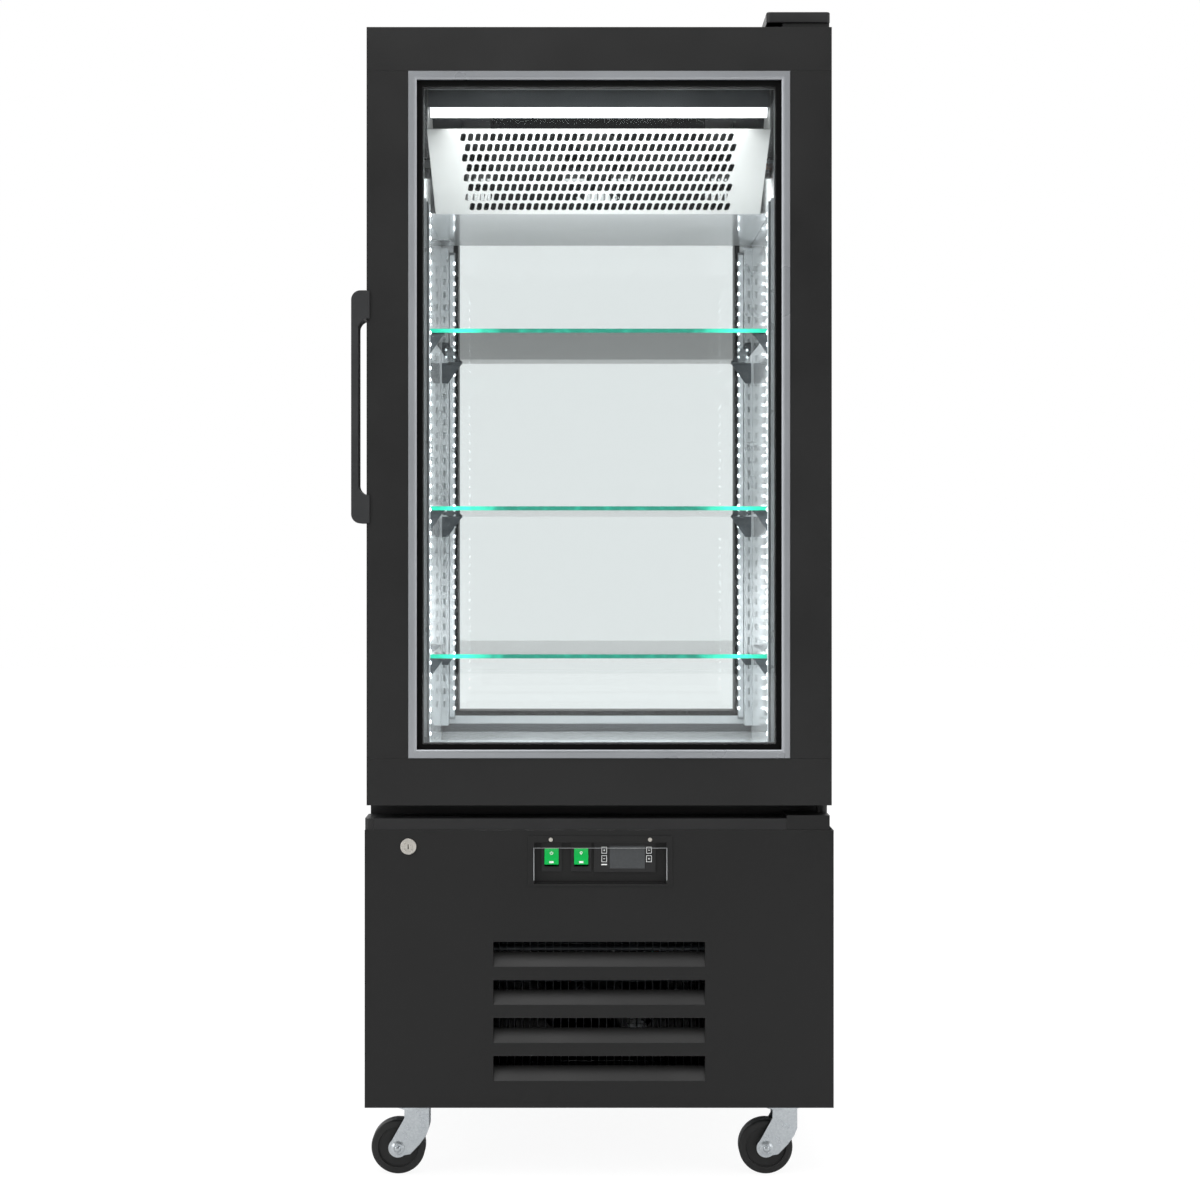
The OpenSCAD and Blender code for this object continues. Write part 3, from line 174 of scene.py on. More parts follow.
# the pale trim round the rear window, lit by the strips beside it
paleTrim = mottledSurface("paleSatinAluminium", "#c9cccf", "#dcdfe1", (0.3, 0.38), 0.6, 0.004, 90, Metallic=0.4)
deepBlack = mottledSurface("blackGlassPrint", "#040404", "#070707", (0.7, 0.8), 0.8, 0.002, 60,
                           **{"Specular IOR Level": 0.1})
# bright zinc on pressed steel: cloudy patches, blue-white
# zinc of the slotted uprights, washed out by the strips on them
litZinc = mottledSurface("zincUprights", "#c3c8cb", "#d8dcde", (0.25, 0.38), 2.0, 0.004, 25, Metallic=0.4)
brightZinc = mottledSurface("brightZinc", "#b4babf", "#cfd4d7", (0.24, 0.36), 2.5, 0.004, 14, Metallic=1.0)
dullZinc = mottledSurface("dullZinc", "#5d6266", "#777c80", (0.38, 0.5), 1.5, 0.01, 12, Metallic=0.8)
satinNickel = mottledSurface("satinNickel", "#c9c5bc", "#dcd9d2", (0.24, 0.32), 0.4, 0.003, 20, Metallic=1.0)
coverPaint = mottledSurface("lightGreyPaint", "#b2b3b2", "#babbba", (0.4, 0.48), 1.2, 0.008)
rigidFoam = mottledSurface("rigidFoam", "#cdbb78", "#e0d196", (0.85, 0.95), 1.5, 0.2, 30)
blackSpacer = mottledSurface("warmEdgeSpacer", "#070708", "#0c0c0d", (0.6, 0.7), 0.7, 0.01, 40)
softSeal = mottledSurface("softPvcSeal", "#111112", "#191919", (0.6, 0.7), 0.8, 0.02, 40)
greyPlastic = mottledSurface("lightGreyPlastic", "#d0d2d3", "#dcdedf", (0.4, 0.5), 0.6, 0.01, 40)
acetal = mottledSurface("naturalAcetal", "#d6d6d0", "#e2e2dc", (0.35, 0.45), 0.6, 0.01, 30)
drawnCopper = mottledSurface("drawnCopper", "#a9653a", "#c98752", (0.25, 0.4), 1.5, 0.01, 25, Metallic=1.0)
fanPlastic = mottledSurface("glassFilledNylon", "#262829", "#323537", (0.5, 0.6), 0.6, 0.02, 40)
blackEnamel = mottledSurface("blackEnamel", "#161718", "#1f2021", (0.2, 0.28), 1.5, 0.01, 60)
millFins = mottledSurface("millFinishFins", "#4a4d50", "#5c6063", (0.4, 0.5), 1.0, 0.01, 30, Metallic=0.6)
# evaporator fins made near black: painted shade behind the cover's slots
finsDarkForShade = mottledSurface("epoxyCoatedFins", "#15191b", "#1e2326", (0.4, 0.5), 1.0, 0.01, 30)
wheelRubber = mottledSurface("vulcanisedRubber", "#121212", "#1b1b1b", (0.5, 0.62), 0.7, 0.03, 15)
smokedWindow = mottledSurface("smokedAcrylic", "#383b3d", "#404345", (0.06, 0.1), 3, 0.002, 30)
floatGlass = clearGlass("clearFloatGlass", "#feffff")
shelfGlass = clearGlass("shelfFloatGlass", "#fcfefe")
opalLamp = litPlastic("opalDiffuser", "#ffffff", "#fdfeff", 1.6)
litChip = litPlastic("litLedChip", "#ffffff", "#f6faff", 4.0)
stripBoard = mottledSurface("whiteStripBoard", "#c3c8cb", "#d6dadc", (0.35, 0.45), 1.0, 0.005, 20)
beadMetal = mottledSurface("brightBeadExtrusion", "#989b9f", "#a4a7ab", (0.26, 0.34), 0.8, 0.003, 150, Metallic=0.4)
sillGrey = mottledSurface("darkGreySill", "#4d4f52", "#56585b", (0.4, 0.5), 0.8, 0.01)
mutedMark = mottledSurface("paleGreyInk", "#a9adb0", "#b6babd", (0.5, 0.6), 0.4, 0.002, 10)
greenLens = litPlastic("greenPolycarbonate", "#0f9a45", "#12b04e", 0.35, 0.18)

slotFinish = {
    "black_steel": powderCoat, "black_plastic": mouldedAbs, "handle_plastic": handleAbs,
    "polished_steel": polishedSteel, "aluminium": anodised, "zinc_steel": brightZinc,
    "bracket_steel": dullZinc, "nickel": satinNickel, "cover_paint": coverPaint, "foam": rigidFoam,
    "clear_glass": floatGlass, "shelf_glass": shelfGlass, "spacer_black": blackSpacer,
    "gasket_rubber": softSeal, "lamp_white": opalLamp, "green_plastic": greenLens,
    "display_dark": smokedWindow, "grey_plastic": greyPlastic, "white_plastic": acetal,
    "copper": drawnCopper, "fan_plastic": fanPlastic, "black_enamel": blackEnamel,
    "fin_aluminium": millFins, "wheel_rubber": wheelRubber,
}
print("materials made")


# ---------------------------------------------------------------- mesh helpers

def shadePiece(name, mesh, material, body, smoothAngle=40):
    for m in (material if isinstance(material, (list, tuple)) else [material]):
        mesh.materials.append(m)
    piece = bpy.data.objects.new(name, mesh)
    bpy.context.collection.objects.link(piece)
    mesh.shade_smooth()
    mesh.set_sharp_from_angle(angle=math.radians(smoothAngle))
    # large flat faces keep straight reflections beside their rounded edges
    flat = piece.modifiers.new("flat", "WEIGHTED_NORMAL")
    flat.keep_sharp = True
    seen = piece.evaluated_get(bpy.context.evaluated_depsgraph_get())
    weighted = bpy.data.meshes.new_from_object(seen)
    piece.modifiers.remove(flat)
    piece.data = weighted
    weighted.name = name
    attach(piece, body)
    return piece


def makePiece(name, bm, material, body, smoothAngle=40):
    bmesh.ops.recalc_face_normals(bm, faces=bm.faces)
    mesh = bpy.data.meshes.new(name)
    bm.to_mesh(mesh)
    bm.free()
    return shadePiece(name, mesh, material, body, smoothAngle)


# a CAD node as a clean bmesh: corners merged, flat faces whole again
def cleanCopy(*nodeNames):
    bm = bmesh.new()
    for n in nodeNames:
        bm.from_mesh(nodes[n].data)
    bmesh.ops.remove_doubles(bm, verts=bm.verts, dist=0.00001)
    bmesh.ops.dissolve_limit(bm, angle_limit=math.radians(1), verts=bm.verts, edges=bm.edges)
    return bm


def roundEdges(bm, radiusMm, segments=2, sharpAngle=35):
    edges = [e for e in bm.edges if e.is_manifold and e.calc_face_angle(0) > math.radians(sharpAngle)]
    bmesh.ops.bevel(bm, geom=edges, offset=radiusMm * mm, offset_type="OFFSET", segments=segments,
                    profile=0.5, affect="EDGES", clamp_overlap=True)


# the separate solids of a bmesh, each as a list of its vertices with its low and high corner
def solidsOf(bm):
    bm.verts.ensure_lookup_table()
    seen, found = set(), []
    for start in bm.verts:
        if start in seen:
            continue
        group, queue = [], [start]
        seen.add(start)
        while queue:
            v = queue.pop()
            group.append(v)
            for e in v.link_edges:
                other = e.other_vert(v)
                if other not in seen:
                    seen.add(other)
                    queue.append(other)
        low = Vector([min(v.co[i] for v in group) for i in range(3)])
        high = Vector([max(v.co[i] for v in group) for i in range(3)])
        found.append((group, low, high))
    return found


# a copy of CAD nodes with their edges rounded, shown in their place; choose picks a material per solid
def roundedCopy(name, nodeNames, radiusMm, material, choose=None, keep=None, extra=None):
    bm = cleanCopy(*nodeNames)
    drop = []
    for group, low, high in solidsOf(bm):
        if keep and not keep(low, high):
            drop += group
        elif choose:
            index = choose(low, high)
            for v in group:
                for f in v.link_faces:
                    f.material_index = index
    if drop:
        bmesh.ops.delete(bm, geom=drop, context="VERTS")
    roundEdges(bm, radiusMm)
    if extra:
        extra(bm)
    piece = makePiece(name, bm, material, bodyOf[nodeNames[0]])
    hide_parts(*nodeNames)
    return piece


def addBox(bm, low, high, index=0):
    made = bmesh.ops.create_cube(bm, size=1.0)
    middle = [(a + b) / 2 for a, b in zip(low, high)]
    size = [b - a for a, b in zip(low, high)]
    for v in made["verts"]:
        v.co = Vector([middle[i] + v.co[i] * size[i] for i in range(3)])
        for f in v.link_faces:
            f.material_index = index
    return made["verts"]


# a profile of (radius, along) points in metres turned about an axis through the centre
def addTurned(bm, profile, centre, axis="Z", steps=48, index=0):
    rings = []
    for radius, along in profile:
        ring = []
        for i in range(steps):
            a = 2 * math.pi * i / steps
            flat = (radius * math.cos(a), radius * math.sin(a))
            point = {"Z": (flat[0], flat[1], along), "Y": (flat[0], along, flat[1]),
                     "X": (along, flat[0], flat[1])}[axis]
            ring.append(bm.verts.new(Vector(centre) + Vector(point)))
            if radius < 1e-7:
                break
        rings.append(ring)
    for lower, upper in zip(rings, rings[1:]):
        for i in range(steps):
            j = (i + 1) % steps
            corners = [lower[i % len(lower)], lower[j % len(lower)], upper[j % len(upper)], upper[i % len(upper)]]
            corners = list(dict.fromkeys(corners))
            if len(corners) > 2:
                bm.faces.new(corners).material_index = index
    return rings


# a flat outline in XZ made into a plate between two Y values
def addPlate(bm, outline, y0, y1, index=0):
    front = [bm.verts.new((x, y0, z)) for x, z in outline]
    back = [bm.verts.new((x, y1, z)) for x, z in outline]
    made = [bm.faces.new(front), bm.faces.new(list(reversed(back)))]
    for i in range(len(outline)):
        j = (i + 1) % len(outline)
        made.append(bm.faces.new([front[i], back[i], back[j], front[j]]))
    for f in made:
        f.material_index = index
    return made


# a profile of (inward, outward) points swept round a rectangle in XZ with mitred corners;
# inward runs from the rectangle's edge to its middle, outward is how far it stands out to the front
def addMitredFrame(bm, x0, x1, z0, z1, frontBase, profile, index=0):
    loops = []
    for inward, outward in profile:
        loops.append([bm.verts.new((x, frontBase - outward, z)) for x, z in
                      ((x0 + inward, z0 + inward), (x1 - inward, z0 + inward),
                       (x1 - inward, z1 - inward), (x0 + inward, z1 - inward))])
    for a, b in zip(loops, loops[1:] + loops[:1]):
        for i in range(4):
            j = (i + 1) % 4
            bm.faces.new([a[i], a[j], b[j], b[i]]).material_index = index


# ---------------------------------------------------------------- repeated parts

# a Geometry Nodes tree that stands one small part on every point of a carrier mesh
def repeatTree(name, partMaterial, buildPart):
    tree = bpy.data.node_groups.new(name, "GeometryNodeTree")
    ids = {}
    socket = tree.interface.new_socket("Carrier", in_out="INPUT", socket_type="NodeSocketGeometry")
    for label, kind, default in (("Part Size", "NodeSocketFloat", 0.005), ("Size Spread", "NodeSocketFloat", 0.0),
                                 ("Seed", "NodeSocketInt", 7)):
        socket = tree.interface.new_socket(label, in_out="INPUT", socket_type=kind)
        socket.default_value = default
        ids[label] = socket.identifier
    tree.interface.new_socket("Geometry", in_out="OUTPUT", socket_type="NodeSocketGeometry")
    start = addNode(tree, "NodeGroupInput")
    part = buildPart(tree)
    turn = addNode(tree, "GeometryNodeInputNamedAttribute", {"data_type": "FLOAT_VECTOR", "Name": "turn"})
    least = addNode(tree, "ShaderNodeMath", {"operation": "SUBTRACT"},
                    {0: start.outputs["Part Size"], 1: start.outputs["Size Spread"]})
    most = addNode(tree, "ShaderNodeMath", {"operation": "ADD"},
                   {0: start.outputs["Part Size"], 1: start.outputs["Size Spread"]})
    size = addNode(tree, "FunctionNodeRandomValue", {"data_type": "FLOAT"})
    tree.links.new(least.outputs[0], size.inputs[2])
    tree.links.new(most.outputs[0], size.inputs[3])
    tree.links.new(start.outputs["Seed"], size.inputs["Seed"])
    points = addNode(tree, "GeometryNodeMeshToPoints", {"mode": "VERTICES"}, {"Mesh": start.outputs["Carrier"]})
    stand = addNode(tree, "GeometryNodeInstanceOnPoints", {},
                    {"Points": points.outputs[0], "Instance": part, "Rotation": turn.outputs[0],
                     "Scale": size.outputs[1]})
    solid = addNode(tree, "GeometryNodeRealizeInstances", {}, {"Geometry": stand.outputs[0]})
    paint = addNode(tree, "GeometryNodeSetMaterial", {"Material": partMaterial}, {"Geometry": solid.outputs[0]})
    addNode(tree, "NodeGroupOutput", {}, {"Geometry": paint.outputs[0]})
    return tree, ids


# spots are (point, euler turn); the result is one plain mesh that rides on the body
def standParts(name, treeAndIds, spots, values, material, body):
    tree, ids = treeAndIds
    mesh = bpy.data.meshes.new(name + "Carrier")
    mesh.from_pydata([p for p, turn in spots], [], [])
    turns = mesh.attributes.new("turn", "FLOAT_VECTOR", "POINT")
    for i, (p, turn) in enumerate(spots):
        turns.data[i].vector = turn
    carrier = bpy.data.objects.new(name + "Carrier", mesh)
    bpy.context.collection.objects.link(carrier)
    modifier = carrier.modifiers.new("repeat", "NODES")
    modifier.node_group = tree
    for label, value in values.items():
        modifier[ids[label]] = value
    seen = carrier.evaluated_get(bpy.context.evaluated_depsgraph_get())
    plain = bpy.data.meshes.new_from_object(seen)
    carrier.modifiers.remove(modifier)
    bpy.data.objects.remove(carrier)
    plain.materials.clear()
    plain.name = name
    return shadePiece(name, plain, material, body)


def chipPart(tree):
    board = addNode(tree, "GeometryNodeMeshCube", {"Size": (0.9, 0.9, 0.3)})
    dome = addNode(tree, "GeometryNodeMeshUVSphere", {"Segments": 16, "Rings": 8, "Radius": 0.42})
    flat = addNode(tree, "GeometryNodeTransform", {"Scale": (1.0, 1.0, 0.8)}, {"Geometry": dome.outputs[0]})
    both = addNode(tree, "GeometryNodeJoinGeometry")
    for source in (board, flat):
        tree.links.new(source.outputs[0], both.inputs[0])
    return both.outputs[0]


# pan head with a cross recess; its seat is at the origin
def screwPart(tree):
    disc = addNode(tree, "GeometryNodeMeshCylinder", {"Vertices": 24, "Radius": 0.5, "Depth": 0.22})
    crown = addNode(tree, "GeometryNodeMeshUVSphere", {"Segments": 24, "Rings": 12, "Radius": 0.5})
    low = addNode(tree, "GeometryNodeTransform", {"Scale": (0.96, 0.96, 0.3), "Translation": (0, 0, 0.1)},
                  {"Geometry": crown.outputs[0]})
    head = addNode(tree, "GeometryNodeMeshBoolean", {"operation": "UNION"})
    for source in (disc, low):
        tree.links.new(source.outputs[0], head.inputs[1])
    cross = addNode(tree, "GeometryNodeMeshBoolean", {"operation": "DIFFERENCE"})
    tree.links.new(head.outputs[0], cross.inputs[0])
    for size in ((0.62, 0.12, 0.3), (0.12, 0.62, 0.3)):
        bar = addNode(tree, "GeometryNodeMeshCube", {"Size": size})
        up = addNode(tree, "GeometryNodeTransform", {"Translation": (0, 0, 0.24)}, {"Geometry": bar.outputs[0]})
        tree.links.new(up.outputs[0], cross.inputs[1])
    return cross.outputs[0]


# ---------------------------------------------------------------- CAD nodes that keep their mesh

# the evaporator fins carry painted shade
specialFinish = {"evaporator_coil": finsDarkForShade, "corner_uprights": litZinc}
for n, piece in nodes.items():
    piece.data.materials.clear()
    piece.data.materials.append(specialFinish.get(n, slotFinish[slotOf[n]]))

# ---------------------------------------------------------------- door

door = {"frameRound": 0.35, "beadWidth": 10.6, "beadChamfer": 0.9, "beadFlat": 7.6, "beadDrop": 2.0,
        "printWidth": 6.8, "lipWidth": 1.4}

roundedCopy("doorFrameFinish", ["door_frame"], door["frameRound"], doorCoat)


# bright bead: a fine outer edge, a flat face and a lip that slopes in to the glass, mitred at the corners
def buildBead():
    bm = cleanCopy("door_bead")
    solids = solidsOf(bm)
    front = min(low.y for group, low, high in solids)
    bars = [s for s in solids if s[1].y < front + 0.0005]
    x0, z0 = (min(low[i] for group, low, high in bars) for i in (0, 2))
    x1, z1 = (max(high[i] for group, low, high in bars) for i in (0, 2))
    back = max(high.y for group, low, high in bars)
    width = min(high.x - low.x for group, low, high in bars)
    bmesh.ops.delete(bm, geom=[v for group, low, high in bars for v in group], context="VERTS")
    roundEdges(bm, 0.4)
    high = back - front
    c, flat, drop = door["beadChamfer"] * mm, door["beadFlat"] * mm, door["beadDrop"] * mm
    addMitredFrame(bm, x0, x1, z0, z1, back, [(0, 0), (0, high - c), (c * 0.7, high), (flat - 0.3 * mm, high),
                                              (flat, high - 0.25 * mm), (width, high - drop), (width, 0)])
    piece = makePiece("doorBeadFinish", bm, beadMetal, "door", 20)
    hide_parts("door_bead")


# black print round the inside of the front pane, with the bright lip of the spacer behind it
def buildGlassPrint():
    low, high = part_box("door_spacer")
    paneLow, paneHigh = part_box("door_glass")
    beadLow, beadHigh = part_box("door_bead")
    width = door["beadWidth"] * mm
    x0, x1 = beadLow[0] + width - 2 * mm, beadHigh[0] - width + 2 * mm
    z0, z1 = beadLow[2] + width - 2 * mm, beadHigh[2] - width + 2 * mm
    bm = bmesh.new()
    band = (2 + door["printWidth"]) * mm
    addMitredFrame(bm, x0, x1, z0, z1, paneLow[1] - 0.05 * mm, [(0, 0), (0, 0.03 * mm), (band, 0.03 * mm), (band, 0)])
    makePiece("blackGlassPrint", bm, deepBlack, "door")
    bm = bmesh.new()
    lip = door["lipWidth"] * mm
    addMitredFrame(bm, x0 + band, x1 - band, z0 + band, z1 - band, high[1] + 0.02 * mm,
                   [(0, 0), (0, 0.4 * mm), (lip, 0.4 * mm), (lip, 0)])
    makePiece("spacerLip", bm, paleTrim, "door")


buildBead()
buildGlassPrint()
roundedCopy("handleFinish", ["door_handle"], 1.6, handleAbs)
print("door made")

# ---------------------------------------------------------------- cabinet

softEdges = {
    "base_front_panel": 0.5, "base_side_panels": 0.5, "front_ledge": 1.2, "roof_cover": 0.4,
    "cabinet_side_skins": 0.3, "rear_frame": 0.8, "front_frame": 0.4, "control_tray": 0.4,
    "hinge_brackets": 0.8, "hinge_cover": 2.0, "control_housings": 0.5, "lock_body": 0.5,
    "shelf_brackets": 0.3, "led_channels": 0.3, "caster_plates": 0.4, "base_rear_grille": 0.2,
    "compressor": 0.8, "power_gland": 0.5, "corner_uprights": 0.15,
}
isSmall = lambda low, high: 1 if (high - low).length < 0.02 else 0
for n, radius in softEdges.items():
    roundedCopy(n.replace("_", " ").title().replace(" ", "") + "Finish", [n], radius, [specialFinish.get(n, slotFinish[slotOf[n]]), satinNickel], choose=isSmall if n == "control_tray" else None)

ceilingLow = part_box("evaporator_cover")[1][2]
roundedCopy("liningFinish", ["interior_liner"], 0.15, [polishedSteel, shadedSteel],
            choose=lambda low, high: 1 if low.z > ceilingLow - 0.004 else 0)
sillDepth = 0.01
roundedCopy("rearTrimFinish", ["rear_trim"], 0.3, [paleTrim, sillGrey],
            choose=lambda low, high: 1 if high.y - low.y > sillDepth else 0)
print("cabinet made")

# ---------------------------------------------------------------- shelves

# ground edge of float glass, its own green tint with a painted glow: deep green where one looks far along it, paler
# near the ends
def edgeTintAndGlowMaterial(halfWidth):
    material, tree, output, place = newMaterial("groundGlassEdge")
    parts = addNode(tree, "ShaderNodeSeparateXYZ", {}, {0: place})
    offset = addNode(tree, "ShaderNodeMath", {"operation": "SUBTRACT", 1: cabinetX}, {0: parts.outputs[0]})
    away = addNode(tree, "ShaderNodeMath", {"operation": "ABSOLUTE"}, {0: offset.outputs[0]})
    share = addNode(tree, "ShaderNodeMapRange", {"From Min": halfWidth * 0.55, "From Max": halfWidth},
                    {"Value": away.outputs[0]})
    ripple = addNode(tree, "ShaderNodeTexNoise", {"Scale": 1 / (14 * mm), "Detail": 2.0}, {"Vector": place})
    wobble = addNode(tree, "ShaderNodeMath", {"operation": "MULTIPLY_ADD", 1: 0.5, 2: -0.25},
                     {0: ripple.outputs["Fac"]})
    level = addNode(tree, "ShaderNodeMath", {"operation": "ADD", "use_clamp": True},
                    {0: share.outputs[0], 1: wobble.outputs[0]})
    tint = addNode(tree, "ShaderNodeMix", {"data_type": "RGBA"})
    tint.inputs[6].default_value = srgb("#0c4a3e")
    tint.inputs[7].default_value = srgb("#2fb99a")
    tree.links.new(level.outputs[0], tint.inputs[0])
    # emission: painted glow on the glass edge
    shader = addNode(tree, "ShaderNodeBsdfPrincipled", {"Roughness": 0.2, "Emission Strength": 0.25},
                     {"Base Color": tint.outputs[2], "Emission Color": tint.outputs[2]})
    tree.links.new(shader.outputs[0], output.inputs["Surface"])
    return material


shelfLow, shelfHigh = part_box("shelf_top")
edgeTintAndGlow = edgeTintAndGlowMaterial((shelfHigh[0] - shelfLow[0]) / 2)
for n in ("shelf_top", "shelf_middle", "shelf_bottom"):
    def markEdges(bm):
        for f in bm.faces:
            f.normal_update()
            f.material_index = 1 if f.normal.y < -0.7 else 0
    roundedCopy(n.replace("_", " ").title().replace(" ", "") + "Finish", [n], 0.25, [shelfGlass, edgeTintAndGlow], extra=markEdges)

# ---------------------------------------------------------------- LED strips and lamp

strip = {"pitch": 15.5, "chip": 5.2, "spread": 0.15}


def buildStrips():
    bm = cleanCopy("led_diffusers")
    spots = []
    drop = []
    for group, low, high in solidsOf(bm):
        if high.z - low.z > 0.3:
            inward = -1 if low.x > cabinetX else 1
            x = high.x if inward > 0 else low.x
            count = int((high.z - low.z) / (strip["pitch"] * mm))
            start = (low.z + high.z) / 2 - (count - 1) * strip["pitch"] * mm / 2
            for i in range(count):
                spots.append(((x, (low.y + high.y) / 2, start + i * strip["pitch"] * mm),
                              (0, inward * math.pi / 2, 0)))
            for v in group:
                for f in v.link_faces:
                    f.material_index = 1
    piece = makePiece("stripBoards", bm, [opalLamp, stripBoard], "cabinet")
    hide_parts("led_diffusers")
    tree = repeatTree("ledChips", litChip, chipPart)
    standParts("ledChips", tree, spots, {"Part Size": strip["chip"] * mm, "Size Spread": strip["spread"] * mm, "Seed": 3},
               litChip, "cabinet")


buildStrips()
print("shelves and lights made")

# ---------------------------------------------------------------- screws

def screwSpots():
    spots = []
    low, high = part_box("cabinet_side_skins")
    baseLow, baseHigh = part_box("base_side_panels")
    rearLow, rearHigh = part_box("rear_frame")
    roofLow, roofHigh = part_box("roof_cover")
    grilleLow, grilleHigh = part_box("base_rear_grille")
    for x, turn in ((low[0], -math.pi / 2), (high[0], math.pi / 2)):
        for z in (low[2] + 0.02, (low[2] + high[2]) / 2, high[2] - 0.02):
            for y in (low[1] + 0.02, high[1] - 0.02):
                spots.append(((x, y, z), (0, turn, 0)))
    for x, turn in ((baseLow[0], -math.pi / 2), (baseHigh[0], math.pi / 2)):
        for y in (baseLow[1] + 0.05, 0.0, baseHigh[1] - 0.05):
            for z in (baseLow[2] + 0.018, baseHigh[2] - 0.018):
                spots.append(((x, y, z), (0, turn, 0)))
    for i in range(4):
        x = roofLow[0] + 0.06 + (roofHigh[0] - roofLow[0] - 0.12) * i / 3
        spots.append(((x, roofHigh[1] - 0.02, roofHigh[2]), (0, 0, 0.5 * i)))
    for x in (grilleLow[0] + 0.012, cabinetX, grilleHigh[0] - 0.012):
        for z in (grilleLow[2] + 0.014, grilleHigh[2] - 0.014):
            spots.append(((x, grilleHigh[1], z), (-math.pi / 2, 0, 0)))
    return spots


blackScrew = mottledSurface("blackenedScrew", "#17181a", "#222426", (0.3, 0.4), 0.8, 0.005, 10, Metallic=0.7)
screwTree = repeatTree("panHeadScrews", blackScrew, screwPart)
standParts("panelScrews", screwTree, screwSpots(), {"Part Size": 7.6 * mm, "Size Spread": 0.0, "Seed": 5},
           blackScrew, "cabinet")
print("screws made")

# ---------------------------------------------------------------- controls

control = {"rimWidth": 0.9, "markWidth": 0.7, "keyOutline": 0.55, "symbol": 2.1}


# a thin ring in the XZ plane that stands a hair in front of a surface
def addRing(bm, x, y, z, radius, width, startAngle=0, sweep=360, index=0):
    steps = 28
    rows = []
    for i in range(steps + 1):
        a = math.radians(startAngle + sweep * i / steps)
        rows.append([bm.verts.new((x + r * math.sin(a), y, z + r * math.cos(a))) for r in (radius, radius - width)])
    for a, b in zip(rows, rows[1:]):
        bm.faces.new([a[0], a[1], b[1], b[0]]).material_index = index


# two lit rockers: power sign on one, lamp sign on the other, and a clear window at the foot of each
def buildRockers():
    for n, sign in (("rocker_power", "power"), ("rocker_light", "lamp")):
        roundedCopy(n.replace("_", " ").title().replace(" ", "") + "Finish", [n], 0.6, greenLens)
        low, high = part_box(n)
        x, tall = (low[0] + high[0]) / 2, high[2] - low[2]
        spots = [(v.co.z, v.co.y) for v in nodes[n].data.vertices]
        topZ, bottomZ = low[2] + tall * 0.74, low[2] + tall * 0.2
        faceAt = lambda z: min(y for vz, y in spots) - 0.1 * mm
        bm = bmesh.new()
        y = faceAt(topZ)
        r, w = control["symbol"] * mm, control["markWidth"] * mm
        if sign == "power":
            addRing(bm, x, y, topZ, r, w, 40, 280)
            addBox(bm, (x - w / 2, y, topZ), (x + w / 2, y + 0.05 * mm, topZ + r * 1.1))
        else:
            addRing(bm, x, y, topZ + 0.2 * r, r * 0.8, w)
            addBox(bm, (x - r * 0.4, y, topZ - r), (x + r * 0.4, y + 0.05 * mm, topZ - r * 0.75))
        addBox(bm, (x - r * 1.3, y, bottomZ - r * 0.7), (x + r * 1.3, y + 0.05 * mm, bottomZ + r * 0.5))
        # the signs: pale print with a faint painted glow
        makePiece(sign + "Sign", bm, glowingPaleMark, bodyOf[n])


# controller face: outlined keys with a minus sign, a plus on up and set, and a small bar under the left pair
def buildControllerMarks():
    width = control["keyOutline"] * mm
    for n in ("key_set", "key_down", "key_up", "key_light"):
        low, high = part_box(n)
        bm = bmesh.new()
        addMitredFrame(bm, low[0] + 0.3 * mm, high[0] - 0.3 * mm, low[2] + 0.3 * mm, high[2] - 0.3 * mm, low[1],
                       [(0, 0), (0, 0.06 * mm), (width, 0.06 * mm), (width, 0)])
        x, z = (low[0] + high[0]) / 2, (low[2] + high[2]) / 2
        y = low[1] - 0.06 * mm
        addBox(bm, (x - 1.2 * mm, y, z - 0.3 * mm), (x + 1.2 * mm, y + 0.05 * mm, z + 0.3 * mm))
        if n in ("key_up", "key_set"):
            addBox(bm, (x - 0.3 * mm, y, z - 1.2 * mm), (x + 0.3 * mm, y + 0.05 * mm, z + 1.2 * mm))
        makePiece(n.replace("_", "") + "Mark", bm, glowingPaleMark, bodyOf[n])
    low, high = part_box("key_down")
    caseLow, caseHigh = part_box("controller_window")
    bm = bmesh.new()
    addBox(bm, (low[0], low[1] + 0.1 * mm, low[2] - 3.6 * mm), (high[0], low[1] + 0.3 * mm, low[2] - 2.2 * mm))
    makePiece("controllerBar", bm, glowingPaleMark, "cabinet")


# the folded rim of the control pocket: a bright strip that is a painted highlight where its edge catches the light
def buildPocketRimHighlight():
    low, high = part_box("control_tray")
    housingLow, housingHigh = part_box("control_housings")
    x0, x1 = low[0] + 8 * mm, high[0] - 8 * mm
    z0, z1 = low[2] + 7.5 * mm, high[2] - 15.5 * mm
    bm = bmesh.new()
    w, y = control["rimWidth"] * mm, low[1]
    addBox(bm, (x0 - w, y - 0.25 * mm, z0), (x0, y + 0.5 * mm, z1))
    addBox(bm, (x1, y - 0.25 * mm, z0), (x1 + w, y + 0.5 * mm, z1))
    addBox(bm, (x0 - w, y - 0.25 * mm, z1), (x1 + w, y + 0.5 * mm, z1 + w * 0.6))
    roundEdges(bm, 0.2)
    makePiece("pocketRim", bm, rimHighlightPaint, "cabinet")


# pale print with a faint painted glow: its emission is not a lamp
glowingPaleMark = litPlastic("paleMarkInk", "#e6e9e8", "#ffffff", 0.15, 0.5)
# painted highlight for the pocket's folded rim
rimHighlightPaint = mottledSurface("brightFoldedRim", "#a9acae", "#c2c5c7", (0.3, 0.4), 0.8, 0.003, 20, Metallic=0.5)
buildRockers()
buildControllerMarks()
buildPocketRimHighlight()
print("controls made")

# ---------------------------------------------------------------- casters

fork = {"trail": 22, "raceFoot": 10.6, "headRadius": 28.4, "headDrop": 4.6, "round": 0.5}


